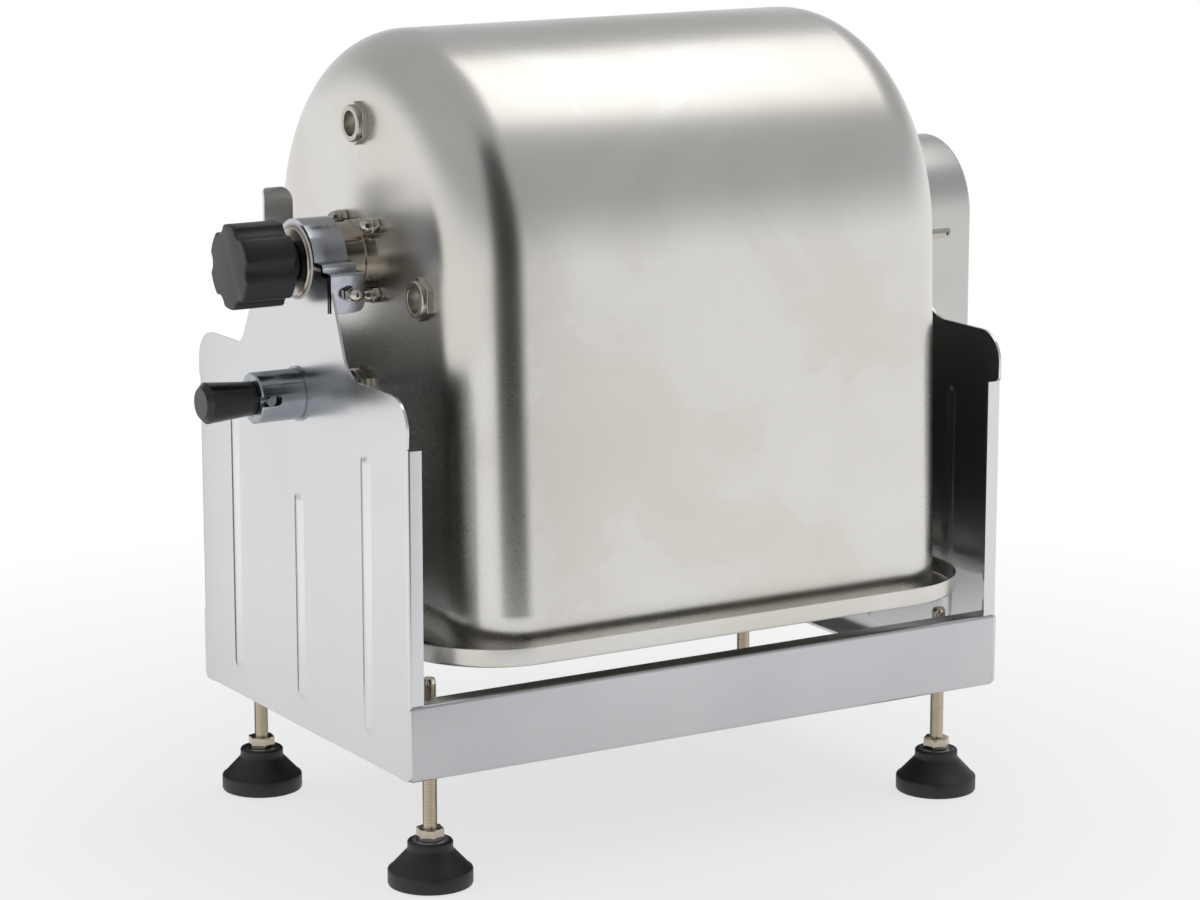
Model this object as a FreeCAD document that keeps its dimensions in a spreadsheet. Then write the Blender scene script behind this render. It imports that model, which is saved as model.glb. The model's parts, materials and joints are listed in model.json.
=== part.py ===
import FreeCAD, Part
import math
import os
import Sketcher

# Tilting meat mixer. Millimetres, +Z up, X along the mixing shaft with the hand knob at -X and the
# gear case at +X. The origin lies on the floor, half way between the side plates, under the shaft.
# The tank stands mouth down, as it does for washing and storage.

Vector = FreeCAD.Vector
doc = FreeCAD.newDocument("MeatMixer")
sheet = doc.addObject("Spreadsheet::Sheet", "Sizes")
nodes = []


class Size:
    """A number with the expression that gives it, so that a feature can be tied to the sheet."""

    def __init__(self, value, text):
        self.value = float(value)
        self.text = text

    def joined(self, other, sign, swap=False):
        other = as_size(other)
        first, second = (other, self) if swap else (self, other)
        results = {"+": first.value + second.value, "-": first.value - second.value,
                   "*": first.value * second.value}
        value = first.value / second.value if sign == "/" else results[sign]
        return Size(value, f"({first.text} {sign} {second.text})")

    def __add__(self, other):
        return self.joined(other, "+")

    def __radd__(self, other):
        return self.joined(other, "+", True)

    def __sub__(self, other):
        return self.joined(other, "-")

    def __rsub__(self, other):
        return self.joined(other, "-", True)

    def __mul__(self, other):
        return self.joined(other, "*")

    def __rmul__(self, other):
        return self.joined(other, "*", True)

    def __truediv__(self, other):
        return self.joined(other, "/")

    def __neg__(self):
        return Size(-self.value, f"(-1 * {self.text})")


def as_size(number):
    return number if isinstance(number, Size) else Size(number, repr(float(number)))


def leg(hypotenuse, side):
    """The other leg of a right triangle."""
    value = math.sqrt(hypotenuse.value ** 2 - side.value ** 2)
    return Size(value, f"sqrt({hypotenuse.text} * {hypotenuse.text} - {side.text} * {side.text})")


def smaller(one, other):
    """The smaller of two lengths."""
    return Size(min(one.value, other.value), f"min({one.text}; {other.text})")


def size(alias, value):
    """Puts one driving dimension in the sheet."""
    row = str(size.row)
    size.row += 1
    sheet.set("A" + row, alias.replace("_", " "))
    sheet.set("B" + row, str(value))
    sheet.setAlias("B" + row, alias)
    return Size(value, "Sizes." + alias)


size.row = 1

# Frame
sheet_wall = size("sheet_wall", 2)
plate_span = size("plate_span", 480)
frame_depth = size("frame_depth", 314)
frame_bottom = size("frame_bottom", 81)
rail_height = size("rail_height", 52.5)
rail_flange = size("rail_flange", 15)
rail_round = size("rail_round", 3)
side_flange = size("side_flange", 11)
side_flange_top = size("side_flange_top", 305)
floor_flange = size("floor_flange", 17)
shoulder_height = size("shoulder_height", 339.5)
shoulder_round = size("shoulder_round", 22)
neck_front_foot = size("neck_front_foot", 74)
neck_rear_foot = size("neck_rear_foot", 87)
neck_front_top = size("neck_front_top", 48.5)
neck_rear_top = size("neck_rear_top", 50)
neck_front_round = size("neck_front_round", 24)
neck_rear_round = size("neck_rear_round", 12)
neck_head = size("neck_head", 44)
foot_corner_round = size("foot_corner_round", 6)
axis_height = size("axis_height", 409)
saddle_gap = size("saddle_gap", 2.5)

# Pressed ribs of the side plates
rib_width = size("rib_width", 9)
rib_rise = size("rib_rise", 2)
rib_slope = size("rib_slope", 40)
rib_spacing = size("rib_spacing", 99)
rib_bottom = size("rib_bottom", 103)
rib_long_top = size("rib_long_top", 291)
rib_short_top = size("rib_short_top", 247)

# Levelling feet
foot_end_inset = size("foot_end_inset", 30)
foot_side_inset = size("foot_side_inset", 28.5)
pad_radius = size("pad_radius", 29)
pad_skirt = size("pad_skirt", 11)
pad_collar_radius = size("pad_collar_radius", 15.5)
pad_cone_top = size("pad_cone_top", 24.5)
pad_height = size("pad_height", 31)
rod_radius = size("rod_radius", 5)
rod_seat = size("rod_seat", 14)
jam_nut_flats = size("jam_nut_flats", 17)
jam_nut_height = size("jam_nut_height", 8.4)
bracket_side = size("bracket_side", 44)
bracket_wall = size("bracket_wall", 3)
running = size("running", 0.05)
sweep_gap = size("sweep_gap", 1.5)

# Tank
tank_left = size("tank_left", 190)
tank_right = size("tank_right", 202)
tank_radius = size("tank_radius", 153)
tank_flare = size("tank_flare", 9)
tank_round = size("tank_round", 44)
tank_wall = size("tank_wall", 1.5)
mouth_height = size("mouth_height", 153)
rim_end_ledge = size("rim_end_ledge", 26)
rim_side_ledge = size("rim_side_ledge", 9)
rim_round = size("rim_round", 70)
rim_lip = size("rim_lip", 13)

# Left hub, strap and knob
hub_radius = size("hub_radius", 24)
hub_reach = size("hub_reach", 52.5)
hub_bore = size("hub_bore", 16)
hub_flange_radius = size("hub_flange_radius", 42)
hub_flange_wall = size("hub_flange_wall", 4)
hub_collar_radius = size("hub_collar_radius", 25.2)
hub_collar_length = size("hub_collar_length", 8.5)
hub_cap_wall = size("hub_cap_wall", 6)
liner_wall = size("liner_wall", 2)
strap_wall = size("strap_wall", 3)
strap_width = size("strap_width", 25)
strap_step = size("strap_step", 12)
lug_face = size("lug_face", 50)
lug_bottom = size("lug_bottom", 28.5)
lug_width = size("lug_width", 24.5)
tab_face = size("tab_face", 46)
tab_width = size("tab_width", 22)
tab_rise = size("tab_rise", 43)
tab_curl = size("tab_curl", 5)
tab_round = size("tab_round", 9)
stud_drop = size("stud_drop", 16)
stud_radius = size("stud_radius", 3)
cap_nut_flats = size("cap_nut_flats", 10)
cap_nut_hex = size("cap_nut_hex", 5.5)
cap_nut_height = size("cap_nut_height", 13)
hub_bolt_circle = size("hub_bolt_circle", 33.5)
knob_radius = size("knob_radius", 29)
knob_length = size("knob_length", 37.5)
knob_neck_radius = size("knob_neck_radius", 14)
knob_neck_length = size("knob_neck_length", 9.5)
knob_gap = size("knob_gap", 0.4)
scallop_radius = size("scallop_radius", 9)
scallop_circle = size("scallop_circle", 34.5)
knob_screw_radius = size("knob_screw_radius", 10)
pivot_radius = size("pivot_radius", 8)
pivot_engaged = size("pivot_engaged", 11.5)
knob_travel = size("knob_travel", 12)

# Index sockets and lock
socket_circle = size("socket_circle", 91)
socket_tilt = size("socket_tilt", 79)
socket_radius = size("socket_radius", 12.8)
socket_bore = size("socket_bore", 8.6)
socket_face = size("socket_face", 7.5)
socket_flange = size("socket_flange", 3.5)
socket_stem = size("socket_stem", 11)
socket_nut_flats = size("socket_nut_flats", 26)
barrel_radius = size("barrel_radius", 17.5)
barrel_bore = size("barrel_bore", 12.5)
barrel_length = size("barrel_length", 34.5)
barrel_slot_end = size("barrel_slot_end", 20)
weld_ring = size("weld_ring", 19)
weld_ring_wall = size("weld_ring_wall", 1.5)
lock_pin_radius = size("lock_pin_radius", 8.4)
lock_tip_radius = size("lock_tip_radius", 4.1)
lock_taper = size("lock_taper", 10.3)
lock_gap = size("lock_gap", 0.5)
lock_collar_length = size("lock_collar_length", 12)
lock_stem_radius = size("lock_stem_radius", 6)
cross_pin_radius = size("cross_pin_radius", 3.2)
cross_pin_place = size("cross_pin_place", 28)
handle_length = size("handle_length", 38.5)
handle_inner_radius = size("handle_inner_radius", 11.5)
handle_outer_radius = size("handle_outer_radius", 14.2)
handle_chamfer = size("handle_chamfer", 4)
spring_radius = size("spring_radius", 10.4)
spring_wire = size("spring_wire", 1.2)
spring_turns = size("spring_turns", 6)

# Mixing shaft and paddles
shaft_radius = size("shaft_radius", 12.5)
shaft_left = size("shaft_left", 216)
shaft_right = size("shaft_right", 226)
dog_width = size("dog_width", 8)
dog_depth = size("dog_depth", 9)
paddle_reach = size("paddle_reach", 138)
paddle_count = 4
paddle_spacing = size("paddle_spacing", 86)
paddle_wall = size("paddle_wall", 5)
paddle_root_width = size("paddle_root_width", 20)
paddle_tip_width = size("paddle_tip_width", 62)
paddle_boss_radius = size("paddle_boss_radius", 19)
paddle_twist = size("paddle_twist", 35)
bush_length = size("bush_length", 22)
seal_length = size("seal_length", 7)

# Right hub, gear case and gear train
right_hub_reach = size("right_hub_reach", 31)
bearing_radius = size("bearing_radius", 38)
bearing_wall = size("bearing_wall", 5)
bearing_length = size("bearing_length", 18)
bearing_ring = size("bearing_ring", 29)
bearing_screw_head = size("bearing_screw_head", 4)
case_radius = size("case_radius", 53)
case_depth = size("case_depth", 48.5)
case_wall = size("case_wall", 1.5)
case_drop = size("case_drop", 41)
case_round = size("case_round", 14)
gear_plate_wall = size("gear_plate_wall", 3)
gear_module = size("gear_module", 2)
drive_teeth = size("drive_teeth", 42)
idler_teeth = size("idler_teeth", 26)
input_teeth = size("input_teeth", 18)
gear_width = size("gear_width", 12)
gear_place = size("gear_place", 14)
gear_backlash = size("gear_backlash", 0.25)
spindle_radius = size("spindle_radius", 10)
spindle_collar = size("spindle_collar", 14)
bush_wall = size("bush_wall", 4)
bush_flange = size("bush_flange", 3)
bush_lip = size("bush_lip", 8)
side_play = size("side_play", 0.3)
ring_rise = size("ring_rise", 3)
ring_wall = size("ring_wall", 2)
idler_pin_radius = size("idler_pin_radius", 6)
input_radius = size("input_radius", 9.5)
input_collar = size("input_collar", 11.9)
input_reach = size("input_reach", 24)
input_end_radius = size("input_end_radius", 9)
input_shoulder = size("input_shoulder", 3.5)
pillar_radius = size("pillar_radius", 5)
pillar_side = size("pillar_side", 42)
pillar_high_drop = size("pillar_high_drop", 64)
pillar_low_drop = size("pillar_low_drop", 27)
case_screw_radius = size("case_screw_radius", 2.5)
case_screw_depth = size("case_screw_depth", 12)
screw_head_height = size("screw_head_height", 2.5)
stop_pin_radius = size("stop_pin_radius", 3.5)
stop_pin_length = size("stop_pin_length", 31)
stop_pin_circle = size("stop_pin_circle", 102)
stop_pin_drop = size("stop_pin_drop", 4)

# Places worked out from the driving dimensions
half_span = plate_span / 2
half_depth = frame_depth / 2
rail_top = frame_bottom + rail_height
foot_x = half_span - foot_end_inset
foot_y = half_depth - foot_side_inset
plate_top = axis_height - saddle_gap
mouth_half = tank_radius + tank_flare
rim_half = mouth_half + rim_side_ledge
rim_left = tank_left + rim_end_ledge
rim_right = tank_right + rim_end_ledge
liner_radius = hub_radius + running + liner_wall
strap_radius = liner_radius + strap_wall
hub_end = tank_left + hub_reach
lock_height = axis_height - socket_circle
socket_front = tank_left + socket_face
barrel_end = half_span + barrel_length

TO_X = FreeCAD.Rotation(Vector(0, 1, 0), 90)
TO_LEFT = FreeCAD.Rotation(Vector(0, 1, 0), -90)
TO_FRONT = FreeCAD.Rotation(Vector(1, 0, 0), 90)
TO_BACK = FreeCAD.Rotation(Vector(1, 0, 0), -90)
UPRIGHT = FreeCAD.Rotation()
X_AXIS = Vector(1, 0, 0)
Z_AXIS = Vector(0, 0, 1)
FLAT_TO_CORNER = 2 / math.sqrt(3)
CAP_NUT_NECK = 0.44
CAP_NUT_TIP = 0.5
BOLT_HEAD_HEIGHT = 3
KNOB_LOBES = 6
KNOB_BORE_SHARE = 0.6
LOCK_STEM_SHARE = 0.7
PADDLE_START = 45
PRESSURE_ANGLE = math.radians(20)
FLANK_STEPS = 3


def place(item, x, y, z, turn=UPRIGHT):
    """Sets an object's place, tied to the sheet."""
    spots = [as_size(x), as_size(y), as_size(z)]
    item.Placement = FreeCAD.Placement(Vector(*[spot.value for spot in spots]), turn)
    for letter, spot in zip("xyz", spots):
        item.setExpression("Placement.Base." + letter, spot.text)
    return item


def bind(item, field, amount):
    amount = as_size(amount)
    setattr(item, field, amount.value)
    item.setExpression(field, amount.text)


def node(item, label):
    """Names a finished sub-part, whose label is its file's name."""
    item.Label = label
    nodes.append(item)
    return item


def cylinder(radius, height, x, y, z, turn=UPRIGHT):
    item = doc.addObject("Part::Cylinder", "Cylinder")
    bind(item, "Radius", radius)
    bind(item, "Height", height)
    return place(item, x, y, z, turn)


def box(length, width, height, x, y, z, turn=UPRIGHT):
    item = doc.addObject("Part::Box", "Box")
    bind(item, "Length", length)
    bind(item, "Width", width)
    bind(item, "Height", height)
    return place(item, x, y, z, turn)


def hypotenuse(first, second):
    """The long side of a right triangle."""
    value = math.hypot(first.value, second.value)
    return Size(value, f"sqrt({first.text} * {first.text} + {second.text} * {second.text})")


def hexagon(flats, height, x, y, z, turn=UPRIGHT):
    item = doc.addObject("Part::Prism", "Hexagon")
    item.Polygon = 6
    bind(item, "Circumradius", flats * (FLAT_TO_CORNER / 2))
    bind(item, "Height", height)
    return place(item, x, y, z, turn)


def fused(parts):
    item = doc.addObject("Part::MultiFuse", "Fusion")
    item.Shapes = parts
    item.Refine = True
    return item


def cut(base, tools):
    item = doc.addObject("Part::Cut", "Cut")
    item.Base = base
    item.Tool = tools[0] if len(tools) == 1 else fused(tools)
    item.Refine = True
    return item


def group(parts):
    item = doc.addObject("Part::Compound", "Group")
    item.Links = parts
    return item


def new_body():
    return doc.addObject("PartDesign::Body", "Body")


class Drawing:
    """A sketch on one of a body's own planes, with every point tied to the sheet."""

    def __init__(self, body, plane, lift=None):
        self.body = body
        self.sketch = body.newObject("Sketcher::SketchObject", "Sketch")
        for feature in body.Origin.OriginFeatures:
            if feature.Role == plane:
                self.sketch.AttachmentSupport = [(feature, "")]
        self.sketch.MapMode = "FlatFace"
        if lift is not None:
            self.sketch.AttachmentOffset = FreeCAD.Placement(Vector(0, 0, lift.value), UPRIGHT)
            self.sketch.setExpression("AttachmentOffset.Base.z", lift.text)

    def tie_one(self, kind, axis, shape, end, amount):
        amount = as_size(amount)
        if amount.value == 0:
            self.sketch.addConstraint(Sketcher.Constraint("PointOnObject", shape, end, axis))
            return
        rule = Sketcher.Constraint(kind, -1, 1, shape, end, amount.value)
        number = self.sketch.addConstraint(rule)
        self.sketch.setExpression(f"Constraints[{number}]", amount.text)

    def tie(self, shape, end, x, y):
        self.tie_one("DistanceX", -2, shape, end, x)
        self.tie_one("DistanceY", -1, shape, end, y)

    def outline(self, points, arcs=None):
        """Draws a closed outline. arcs holds, by the number of a stretch's first point, its centre
        and whether it turns left."""
        arcs = arcs or {}
        points = [(as_size(x), as_size(y)) for x, y in points]
        stretches = []
        for number, start in enumerate(points):
            end = points[(number + 1) % len(points)]
            first = Vector(start[0].value, start[1].value, 0)
            last = Vector(end[0].value, end[1].value, 0)
            if number in arcs:
                across, up, left = arcs[number]
                centre = Vector(as_size(across).value, as_size(up).value, 0)
                low, high = (first, last) if left else (last, first)
                circle = Part.Circle(centre, Vector(0, 0, 1), (first - centre).Length)
                angles = [math.atan2(spot.y - centre.y, spot.x - centre.x) for spot in (low, high)]
                if angles[1] <= angles[0]:
                    angles[1] += 2 * math.pi
                shape = self.sketch.addGeometry(Part.ArcOfCircle(circle, angles[0], angles[1]), False)
                stretches.append((shape, 1, 2) if left else (shape, 2, 1))
                if abs(last.x - first.x) > abs(last.y - first.y):
                    self.tie_one("DistanceY", -1, shape, 3, up)
                else:
                    self.tie_one("DistanceX", -2, shape, 3, across)
            else:
                shape = self.sketch.addGeometry(Part.LineSegment(first, last), False)
                stretches.append((shape, 1, 2))
        for number, (shape, _, finish) in enumerate(stretches):
            following = stretches[(number + 1) % len(stretches)]
            meet = Sketcher.Constraint("Coincident", shape, finish, following[0], following[1])
            self.sketch.addConstraint(meet)
        for (shape, start, _), (x, y) in zip(stretches, points):
            self.tie(shape, start, x, y)

    def circle(self, x, y, radius):
        centre = Vector(as_size(x).value, as_size(y).value, 0)
        shape = self.sketch.addGeometry(Part.Circle(centre, Vector(0, 0, 1), radius.value), False)
        self.tie(shape, 3, x, y)
        number = self.sketch.addConstraint(Sketcher.Constraint("Radius", shape, radius.value))
        self.sketch.setExpression(f"Constraints[{number}]", radius.text)

    def pad(self, length, reverse=False, taper=None):
        return self.extrude("PartDesign::Pad", length, reverse, taper)

    def pocket(self, length, reverse=False, taper=None):
        return self.extrude("PartDesign::Pocket", length, reverse, taper)

    def extrude(self, kind, length, reverse, taper):
        feature = self.body.newObject(kind, kind.split("::")[1])
        feature.Profile = self.sketch
        bind(feature, "Length", length)
        feature.Reversed = reverse
        if taper is not None:
            bind(feature, "TaperAngle", taper)
        return feature

    def revolve(self):
        feature = self.body.newObject("PartDesign::Revolution", "Revolution")
        feature.Profile = self.sketch
        feature.ReferenceAxis = (self.sketch, ["V_Axis"])
        feature.Angle = 360
        return feature


def turned(section, x, y, z, turn=UPRIGHT):
    """A turned piece. The section's points are radius and height along the axis."""
    body = new_body()
    drawing = Drawing(body, "XZ_Plane")
    drawing.outline(section)
    drawing.revolve()
    return place(body, x, y, z, turn)


def round_edges(body, feature, radius, chosen):
    """Rounds the edges of a feature that pass the test."""
    doc.recompute()
    names = [f"Edge{number + 1}" for number, edge in enumerate(feature.Shape.Edges) if chosen(edge)]
    fillet = body.newObject("PartDesign::Fillet", "Fillet")
    fillet.Base = (feature, names)
    bind(fillet, "Radius", radius)
    return fillet


def along(edge, direction):
    if not isinstance(edge.Curve, Part.Line):
        return False
    return abs(abs(edge.Curve.Direction.dot(direction)) - 1) < 1e-6


def near(edge, **spots):
    """Whether an edge's middle lies at the given places."""
    middle = edge.CenterOfMass
    return all(abs(getattr(middle, axis) - spot) < 0.1 for axis, spot in spots.items())


# Side plates: a sheet with a shouldered neck, flanges on three sides and three pressed ribs
def side_plate(sign, head):
    """One side plate, drawn at its outer face. sign is -1 on the left and 1 on the right."""
    outer = half_span * sign
    inward = sign > 0
    body = new_body()
    profile = Drawing(body, "YZ_Plane", outer)
    front = [(-half_depth, frame_bottom), (half_depth, frame_bottom), (half_depth, shoulder_height),
             (neck_rear_foot, shoulder_height)]
    back = [(-neck_front_foot, shoulder_height), (-half_depth, shoulder_height)]
    if head:
        top = [(neck_head, axis_height), (-neck_head, axis_height)]
        profile.outline(front + top + back, {4: (0, axis_height, True)})
    else:
        saddle = leg(liner_radius, saddle_gap)
        top = [(neck_rear_top, plate_top), (saddle, plate_top), (-saddle, plate_top),
               (-neck_front_top, plate_top)]
        profile.outline(front + top + back, {5: (0, axis_height, False)})
    sheet_pad = profile.pad(sheet_wall, inward)
    half, low, high = half_depth.value, frame_bottom.value, shoulder_height.value
    rounded = round_edges(body, sheet_pad, shoulder_round,
                          lambda edge: along(edge, X_AXIS) and near(edge, z=high)
                          and abs(abs(edge.CenterOfMass.y) - half) < 0.1)
    rounded = round_edges(body, rounded, neck_front_round,
                          lambda edge: along(edge, X_AXIS) and near(edge, y=-neck_front_foot.value, z=high))
    rounded = round_edges(body, rounded, neck_rear_round,
                          lambda edge: along(edge, X_AXIS) and near(edge, y=neck_rear_foot.value, z=high))
    for side in (-1, 1):
        flange = Drawing(body, "XY_Plane", rail_top)
        inner = (half_span - side_flange) * sign
        flange.outline([(outer, half_depth * side), (inner, half_depth * side),
                        (inner, (half_depth - sheet_wall) * side), (outer, (half_depth - sheet_wall) * side)])
        flange.pad(side_flange_top - rail_top)
    base = Drawing(body, "XY_Plane", frame_bottom)
    inner = (half_span - floor_flange) * sign
    reach = half_depth - rail_flange
    base.outline([(outer, -reach), (inner, -reach), (inner, reach), (outer, reach)])
    last = base.pad(sheet_wall)
    doc.recompute()
    last = round_edges(body, last, foot_corner_round,
                       lambda edge: along(edge, X_AXIS) and near(edge, z=low)
                       and abs(abs(edge.CenterOfMass.y) - half) < 0.1)
    for place_y, top in ((rib_spacing, rib_long_top), (Size(0, "0"), rib_short_top),
                         (-rib_spacing, rib_long_top)):
        for raised in (True, False):
            rib_slot(body, outer if raised else (half_span - sheet_wall) * sign, place_y, top, raised, inward)
    return body


def rib_slot(body, lift, place_y, top, raised, inward):
    """A rib's round-ended outline, padded outwards or pocketed from inside, with sloping sides."""
    half = rib_width / 2 if raised else rib_width / 2 - sheet_wall / 4
    low = rib_bottom + rib_width / 2
    high = top - rib_width / 2
    rib = Drawing(body, "YZ_Plane", lift)
    rib.outline([(place_y + half, low), (place_y + half, high),
                 (place_y - half, high), (place_y - half, low)],
                {1: (place_y, high, True), 3: (place_y, low, True)})
    if raised:
        rib.pad(rib_rise, not inward, -rib_slope)
    else:
        rib.pocket(rib_rise, inward, -rib_slope)


def bolt(shank, reach, head_radius, head_height, x, y, z, turn):
    """A round-headed bolt whose head seats at the given place, its shank along the turned Z axis."""
    return turned([(0, -head_height), (head_radius, -head_height), (head_radius, 0), (shank, 0),
                   (shank, reach), (0, reach)], x, y, z, turn)


def nut(flats, height, bore, x, y, z, turn=UPRIGHT):
    return cut(hexagon(flats, height, x, y, z, turn), [cylinder(bore + running, height, x, y, z, turn)])


def cap_nut(x, y, z, turn):
    """A domed nut, seated at the given place with its dome along the turned Z axis."""
    middle = (cap_nut_hex + cap_nut_height) / 2
    neck = cap_nut_flats * CAP_NUT_NECK
    dome = turned([(0, 0), (neck, 0), (neck, middle), (neck * CAP_NUT_TIP, cap_nut_height),
                   (0, cap_nut_height)], x, y, z, turn)
    hexed = fused([hexagon(cap_nut_flats, cap_nut_hex, x, y, z, turn), dome])
    return cut(hexed, [cylinder(stud_radius + running, middle, x, y, z, turn)])


# Left plate: ears for the bearing strap and a hole for the lock pin
lug_low = axis_height - lug_bottom
tab_low = lug_low - 6
tab_top = axis_height + tab_rise
stud_height = axis_height - stud_drop
stud_x = -(half_span - lug_width / 2 - sheet_wall)
tab_stud_x = -(half_span - tab_width / 2)


def guide_tab():
    """The tall rear ear, whose top curls back to guide the hub into its saddle."""
    side_body = new_body()
    side = Drawing(side_body, "YZ_Plane", -half_span)
    back = tab_face + strap_wall
    bend = tab_top - tab_curl
    curl = tab_face + tab_curl
    side.outline([(tab_face, tab_low), (back, tab_low), (back, bend), (curl, tab_top - strap_wall),
                  (curl, tab_top), (tab_face, bend)], {2: (curl, bend, False), 4: (curl, bend, True)})
    side.pad(tab_width)
    front_body = new_body()
    front = Drawing(front_body, "XZ_Plane", -(tab_face + tab_curl * 2))
    right = tab_width - half_span
    front.outline([(-half_span, tab_low), (right, tab_low), (right, tab_top - tab_round),
                   (right - tab_round, tab_top), (-half_span, tab_top)],
                  {2: (right - tab_round, tab_top - tab_round, True)})
    front.pad(tab_curl * 3)
    tab = doc.addObject("Part::Common", "GuideTab")
    tab.Base = side_body
    tab.Tool = front_body
    return tab


front_ear = box(lug_width, strap_wall, lug_bottom - strap_wall * 1.5, -half_span, -lug_face, lug_low - 1)
left_plate = fused([side_plate(-1, False), front_ear, guide_tab()])
left_holes = [cylinder(lock_pin_radius + running, sheet_wall * 3, -(half_span + sheet_wall), 0, lock_height,
                       TO_X),
              cylinder(stud_radius + running, strap_wall * 3, stud_x, -(lug_face - strap_wall * 2),
                       stud_height, TO_FRONT),
              cylinder(stud_radius + running, strap_wall * 3, tab_stud_x, tab_face - strap_wall,
                       stud_height, TO_BACK)]
node(cut(left_plate, left_holes), "left_side_plate")

# Right plate: bored for the drive spindle, the bearing screws and the gear case's screws
plate_inner = half_span - sheet_wall
case_face = half_span + gear_plate_wall
case_inside = half_span + case_depth - case_wall
case_outside = half_span + case_depth
idler_height = axis_height - (drive_teeth + idler_teeth) * gear_module / 2
input_height = idler_height - (idler_teeth + input_teeth) * gear_module / 2
case_bottom = input_height - case_drop
pillar_high = axis_height - pillar_high_drop
pillar_low = input_height - pillar_low_drop
spindle_bush = spindle_radius + bush_wall
input_bush = input_radius + bush_wall
bearing_screw_circle = (bearing_radius + bearing_ring) / 2


def ring_places(circle, count, turn):
    """Points on a circle round the shaft axis, as Y and Z."""
    places = []
    for number in range(count):
        angle = math.radians(turn + number * 360 / count)
        places.append((circle * math.cos(angle), axis_height + circle * math.sin(angle)))
    return places


bearing_places = ring_places(bearing_screw_circle, 4, 45)
hole_start = plate_inner - sheet_wall
hole_length = sheet_wall * 3
right_holes = [cylinder(spindle_bush + running, hole_length, hole_start, 0, axis_height, TO_X)]
right_holes += [cylinder(case_screw_radius + running, hole_length, hole_start, y, z, TO_X)
                for y, z in bearing_places]
node(cut(side_plate(1, True), right_holes), "right_side_plate")


# Rails: a channel along the front and one along the rear, with rolled outer edges
def rail(side, label):
    body = new_body()
    section = Drawing(body, "YZ_Plane", -plate_inner)
    face, skin, tip = [(half_depth - depth) * side for depth in (0, sheet_wall, rail_flange)]
    low, high = frame_bottom, rail_top
    section.outline([(face, low), (tip, low), (tip, low + sheet_wall), (skin, low + sheet_wall),
                     (skin, high - sheet_wall), (tip, high - sheet_wall), (tip, high), (face, high)])
    channel = section.pad(plate_inner * 2)
    round_edges(body, channel, rail_round, lambda edge: along(edge, X_AXIS) and near(edge, y=face.value))
    node(body, label)


rail(-1, "front_rail")
rail(1, "rear_rail")

# Corner brackets and weld nuts that hold the levelling feet
bracket_base = frame_bottom + sheet_wall
nut_base = bracket_base + bracket_wall
corners = [("front_left", -1, -1), ("front_right", 1, -1), ("rear_left", -1, 1), ("rear_right", 1, 1)]
brackets = []
weld_nuts = []
for corner, along_x, along_y in corners:
    low_x = plate_inner - bracket_side if along_x > 0 else -plate_inner
    low_y = half_depth - sheet_wall - bracket_side if along_y > 0 else -(half_depth - sheet_wall)
    spot = (foot_x * along_x, foot_y * along_y)
    plate = box(bracket_side, bracket_side, bracket_wall, low_x, low_y, bracket_base)
    brackets.append(cut(plate, [cylinder(rod_radius + 0.5, bracket_wall, *spot, bracket_base)]))
    weld_nuts.append(nut(jam_nut_flats, jam_nut_height, rod_radius, *spot, nut_base))
node(group(brackets), "foot_brackets")
node(group(weld_nuts), "foot_weld_nuts")


# Levelling feet: rubber pad, threaded rod and jam nut at each corner
def rod_top(rim_end):
    """The rod's top, kept under the path of the rim's edge beside it, or of the rim's very end."""
    across = smaller(foot_x - rod_radius - (rim_end - rim_round), rim_round)
    edge = rim_half - rim_round + leg(rim_round, across)
    swing = hypotenuse(edge, axis_height - mouth_height)
    return axis_height - leg(swing, foot_y - rod_radius) - sweep_gap


for corner, along_x, along_y in corners:
    spot = (foot_x * along_x, foot_y * along_y)
    bore = rod_radius + running
    top = rod_top(rim_left if along_x < 0 else rim_right)
    node(turned([(0, 0), (pad_radius - 1, 0), (pad_radius, 1), (pad_radius, pad_skirt),
                 (pad_collar_radius, pad_cone_top), (pad_collar_radius, pad_height - 1),
                 (pad_collar_radius - 1, pad_height), (bore, pad_height), (bore, rod_seat), (0, rod_seat)],
                *spot, 0), corner + "_foot_pad")
    node(turned([(0, rod_seat), (rod_radius, rod_seat), (rod_radius, top - 1), (rod_radius - 1, top),
                 (0, top)], *spot, 0), corner + "_foot_rod")
    node(nut(jam_nut_flats, jam_nut_height, rod_radius, *spot, pad_height), corner + "_jam_nut")


# Tank: a deep-drawn U with rounded ends, whose mouth turns out into a gutter
def tank_form(inset):
    """The tank's solid outline, drawn inset from its outer skin."""
    body = new_body()
    radius = tank_radius - inset
    flare = math.atan2(tank_flare.value, (axis_height - mouth_height).value)
    side = radius * math.cos(flare)
    shoulder = axis_height + radius * math.sin(flare)
    profile = Drawing(body, "YZ_Plane", -(tank_left - inset))
    half = mouth_half - inset
    profile.outline([(-half, mouth_height), (half, mouth_height), (side, shoulder), (-side, shoulder)],
                    {2: (0, axis_height, True)})
    solid = profile.pad(tank_left + tank_right - inset * 2)
    low = mouth_height.value
    round_edges(body, solid, tank_round - inset,
                lambda edge: not along(edge, X_AXIS) and not near(edge, z=low))
    return body


def rounded_frame(drawing, left, right, half, corner):
    """A rectangle with round corners, drawn from its four sides."""
    drawing.outline([(-(left - corner), -half), (right - corner, -half), (right, -(half - corner)),
                     (right, half - corner), (right - corner, half), (-(left - corner), half),
                     (-left, half - corner), (-left, -(half - corner))],
                    {1: (right - corner, -(half - corner), True), 3: (right - corner, half - corner, True),
                     5: (-(left - corner), half - corner, True),
                     7: (-(left - corner), -(half - corner), True)})


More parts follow.
